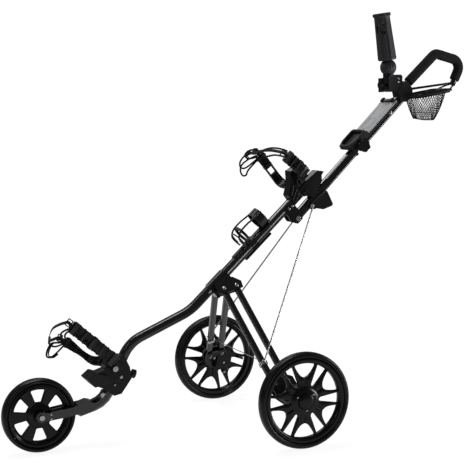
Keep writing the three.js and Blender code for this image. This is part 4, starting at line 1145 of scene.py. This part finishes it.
# ------------------------------------------------------------------ umbrella holder
def fluted(rows, waves):
    """Rows of (height, radius, flute depth) turned into a skin; flutes run up it, waves of them round it."""
    count = 144
    verts, faces = [], []
    for z, r, depth in rows:
        for k in range(count):
            a = 2 * math.pi * k / count
            dent = depth * (0.5 - 0.5 * math.cos(waves * a)) ** 0.7
            verts.append(mast((r - dent) * math.cos(a), (r - dent) * math.sin(a), z))
    for i in range(len(rows) - 1):
        for k in range(count):
            n = (k + 1) % count
            faces.append((i * count + k, i * count + n, (i + 1) * count + n, (i + 1) * count + k))
    return verts, faces


def button_point(across, along, reach, shift):
    """A point on the holder's skin near its release button, which faces 30 degrees from its left side."""
    turn = math.radians(240) + across / reach
    return reach * math.cos(turn), reach * math.sin(turn), 128 + shift + along


def umbrella():
    body = "umbrella_holder"
    outer = [(22, 15, 0), (23, 24, 0), (24.5, 29.2, 0), (27, 30.4, 0.4), (31, 30.4, 1.6), (40, 30.2, 1.9),
             (100, 28, 1.9), (150, 26.4, 1.8), (158, 26, 1.2), (163, 26, 0.3), (165, 26.4, 0),
             (167.5, 28.2, 0), (169, 28.5, 0), (171, 28.5, 0), (171.3, 27.6, 0), (173, 27.6, 0),
             (173.3, 28.5, 0), (175.6, 28.5, 0), (177, 27.4, 0), (177, 21, 0), (175, 19.4, 0), (168, 19, 0),
             (60, 19, 0), (50, 18.4, 0), (50, 0.01, 0)]
    verts, faces = fluted(outer, 12)
    add_mesh("umbrella_tube", verts, faces, HOLDER, body, None, ("umbrella_holder",))
    ball = [(27.2 * math.sin(math.radians(a)), 27.2 * math.cos(math.radians(a)),
             1.2 * math.cos(math.radians(a)) ** 0.5) for a in range(-88, 70, 6)]
    verts, faces = fluted(ball, 18)
    add_mesh("umbrella_ball", verts, faces, HOLDER, body)
    up = (mast(0, 0, 1) - mast(0, 0, 0)).normalized()
    x_axis = (mast(1, 0, 0) - mast(0, 0, 0)).normalized()
    for k in range(12):
        a = 2 * math.pi * (k + 0.5) / 12
        out = Vector((0, 1, 0)) * math.sin(a) + x_axis * math.cos(a)
        base = mast(28.3 * math.cos(a), 28.3 * math.sin(a), 166.5)
        tube(f"umbrella_lug_{k + 1}", [base, base + up * 4 * MM, base + up * 8.6 * MM],
             box_section(2.6, 4.4, 0.9, 2), HOLDER, body, out)
    verts, faces = [mast(*button_point(0, 0, 27.4, -3))], []
    for ring, (share, out) in enumerate(((0.4, 27.4), (0.8, 27.3), (1.0, 26.2))):
        for i in range(48):
            a = 2 * math.pi * i / 48
            verts.append(mast(*button_point(12.8 * share * math.cos(a), 19.5 * share * math.sin(a), out,
                                            -3)))
            n = (i + 1) % 48
            if ring == 0:
                faces.append((0, 1 + i, 1 + n))
            else:
                low = 1 + 48 * (ring - 1)
                faces.append((low + i, low + 48 + i, low + 48 + n, low + n))
    add_mesh("umbrella_button_pad", verts, faces, PLASTIC, body)
    lug = [mast(*button_point(-24, z, 27, 0)) for z in (-9, 0, 9)]
    tube("umbrella_side_lug", lug, box_section(7, 5, 2, 4), PLASTIC, body,
         Vector((1, 0, 0)))
    for k, (wide, tall, thick) in enumerate(((12.5, 19, 1.9), (9.6, 11.5, 1.3))):
        oval = []
        for i in range(49):
            a = 2 * math.pi * i / 48
            oval.append(mast(*button_point(wide * math.cos(a), tall * math.sin(a), 27.2, -3 * (1 - k))))
        tube(f"umbrella_button_ring_{k + 1}", oval, ring_section(thick, 10), HOLDER, body,
             Vector((0, 1, 0)))
    dress("umbrella_button", HOLDER, 1.4, 3)
    dress("umbrella_clamp", PLASTIC, 1.6, 3)
    dress("umbrella_knob", PLASTIC, 2.2, 3)
    for label, z in ((1058, 1076), (1088, 1088)):
        for name, side in SIDES:
            screw(f"umbrella_clamp_screw_{label}_{name}", cart(530, side * 20, z), Vector((0, side, 0)),
                  3.6, 1.8, "handle")


# ------------------------------------------------------------------ basket
RIM_TILT = 0.138


def rim_z(x):
    """The height of the rim, which climbs towards the handle's free end."""
    return 1029 + RIM_TILT * (x - 590)


def net_point(a, v):
    """A point of the net: a is the angle round it, v runs from 0 at the rim to 1 at its floor's middle."""
    c, s = math.cos(a), math.sin(a)
    square = (abs(c) ** 3.4 + abs(s) ** 3.4) ** (-1 / 3.4)
    wall = min(v / 0.74, 1)
    floor = max(0, (v - 0.74) / 0.26)
    pull = wall ** 1.25
    half_x = (60 * (1 - pull) + 34 * pull) * (1 - floor)
    half_y = (55 * (1 - pull) + 28 * pull) * (1 - floor)
    square = square * (1 - 0.6 * wall) + 0.6 * wall
    centre = 644 * (1 - pull) + 635 * pull
    x, y = centre + half_x * c * square, half_y * s * square
    top = rim_z(x) - 4.5
    bottom = 952 - 0.12 * (x - 614)
    drop = 1 - (1 - wall) ** 1.15
    sag = -2.4 * math.sin(math.pi * floor / 2)
    return cart(x, y, top * (1 - drop) + bottom * drop + sag)


def net():
    columns, rows = 42, 26
    pieces = []
    section = ring_section(0.85, 5)
    for k in range(columns):
        for lean in (-1, 1):
            points = []
            for j in range(rows + 1):
                v = 0.965 * j / rows
                wave = 0.05 * math.sin(5 * v + k * 1.7) * v
                points.append(net_point(2 * math.pi * (k / columns + lean * (v * 0.2)) + wave * 0.3, v))
            pieces.append(sweep(points, section, Vector((0.3, 0.2, 1)), None, True, False)[:2])
    for v, r in ((0.965, 1.3), (0.5, 0.6)):
        ring = [net_point(2 * math.pi * k / 90, v) for k in range(91)]
        pieces.append(sweep(ring, ring_section(r, 6), Vector((0, 0, 1)), None, True, False)[:2])
    verts, faces = together(pieces)
    add_mesh("basket_net_cords", verts, faces, NET, "handle", None, ("basket_net",))
    hem = [net_point(2 * math.pi * k / 120, 0.0) + Vector((0, 0, 1.0 * MM)) for k in range(121)]
    tube("basket_net_hem", hem, ring_section(2.2, 10), WEB, "handle", Vector((0, 0, 1)))
    plan = round_corners([(580, -60), (712, -60), (712, 60), (580, 60)], [30, 14, 14, 30], 7)
    for k, (inset, lift, r) in enumerate(((0, 0, 4.2), (3.5, -6.5, 2.2))):
        ring = [cart(x + inset * (1 if x < 646 else -1), y * (60 - inset) / 60, rim_z(x) + lift)
                for x, y in plan]
        tube(f"basket_rim_rod_{k + 1}", [*ring, ring[0].copy()], ring_section(r, 14), PLASTIC, "handle",
             Vector((0, 0, 1)), ("basket_rim",) if k == 0 else ())
    for name, side in SIDES:
        stay = [cart(712, side * 40, rim_z(712)), cart(736, side * 24, 1058), cart(752, side * 8, 1064)]
        tube(f"basket_link_{name}", smooth_path(stay, 8), ring_section(2.8, 12), PLASTIC, "handle")
    for name, side in SIDES:
        path = smooth_path([cart(556, side * 12, 1030), cart(570, side * 22, 1029),
                            cart(584, side * 30, rim_z(584))], 8)
        tube(f"basket_stay_{name}", path, ring_section(3.2, 12), PLASTIC, "handle")


# ------------------------------------------------------------------ bottle cage and other pieces
def bottle_cage():
    dress("bottle_cage", PLASTIC, 1.0, 2, 28)
    lift = GRIP + 31.4
    loop = []
    for k in range(25):
        a = math.radians(-30 + 240 * k / 24)
        loop.append(main(-26, 29.5 * math.cos(a), lift - 3 + 27 * math.sin(a)))
    tube("bottle_loop", loop, ring_section(2.4, 12), PLASTIC, "lower_frame",
         Vector((1, 0, 0)))
    for name, side in SIDES:
        arch = [(-28, 24, 18), (-30, 28, 46), (-24, 29, 60), (-6, 29, 69), (24, 29, 70), (48, 28, 67),
                (84, 24, 64)]
        path = smooth_path([main(s, side * y, off) for s, y, off in arch], 8)
        tube(f"bottle_arch_{name}", path, box_section(5, 7, 2, 3), PLASTIC, "lower_frame",
             Vector((0, 1, 0)))


def tie_wire():
    """The thin wire between the front legs, in two halves."""
    middle = cart(-62, 0, 240)
    for name, side in SIDES:
        end = cart(-62, side * 202.5, 240)
        path = [middle.lerp(end, k / 24) for k in range(25)]
        verts, faces, uvs = sweep(path, ring_section(1.3, 10), Vector((0, 0, 1)))
        wire = add_mesh(f"cross_wire_{name}", verts, faces, STEEL, None, uvs, ("cross_cable",))
        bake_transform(wire)


def dressed_nodes():
    for name in ("fold_plate_left", "fold_plate_right"):
        dress(name, PAINT, 1.2)
    dress("leg_bracket", PAINT, 1.0, 2)
    dress("front_fork", PAINT, 2.0, 3, 28)
    for name in ("knuckle_left", "knuckle_right", "brake_pedal", "fold_housing", "latch_lever",
                 "handle_hinge_lower", "handle_hinge_upper", "handle_knob", "handle_hub"):
        dress(name, PLASTIC, 1.6, 3)
    for name in ("front_axle", "axle_left", "axle_right", "fold_pivot_bolt", "rod_pin"):
        dress(name, STEEL, 0.9)
    dress("bracket_ring", RING, 0.9)


# ------------------------------------------------------------------ the whole scene
make_camera()
make_studio()
frame_tubes()
legs()
front_wheel()
fork_rivets()
rear_wheel("left", -1, 2)
rear_wheel("right", 1, 14)
lower_cradle()
upper_cradle()
handle_loop()
console()
umbrella()
net()
bottle_cage()
tie_wire()
dressed_nodes()
bpy.context.view_layer.update()
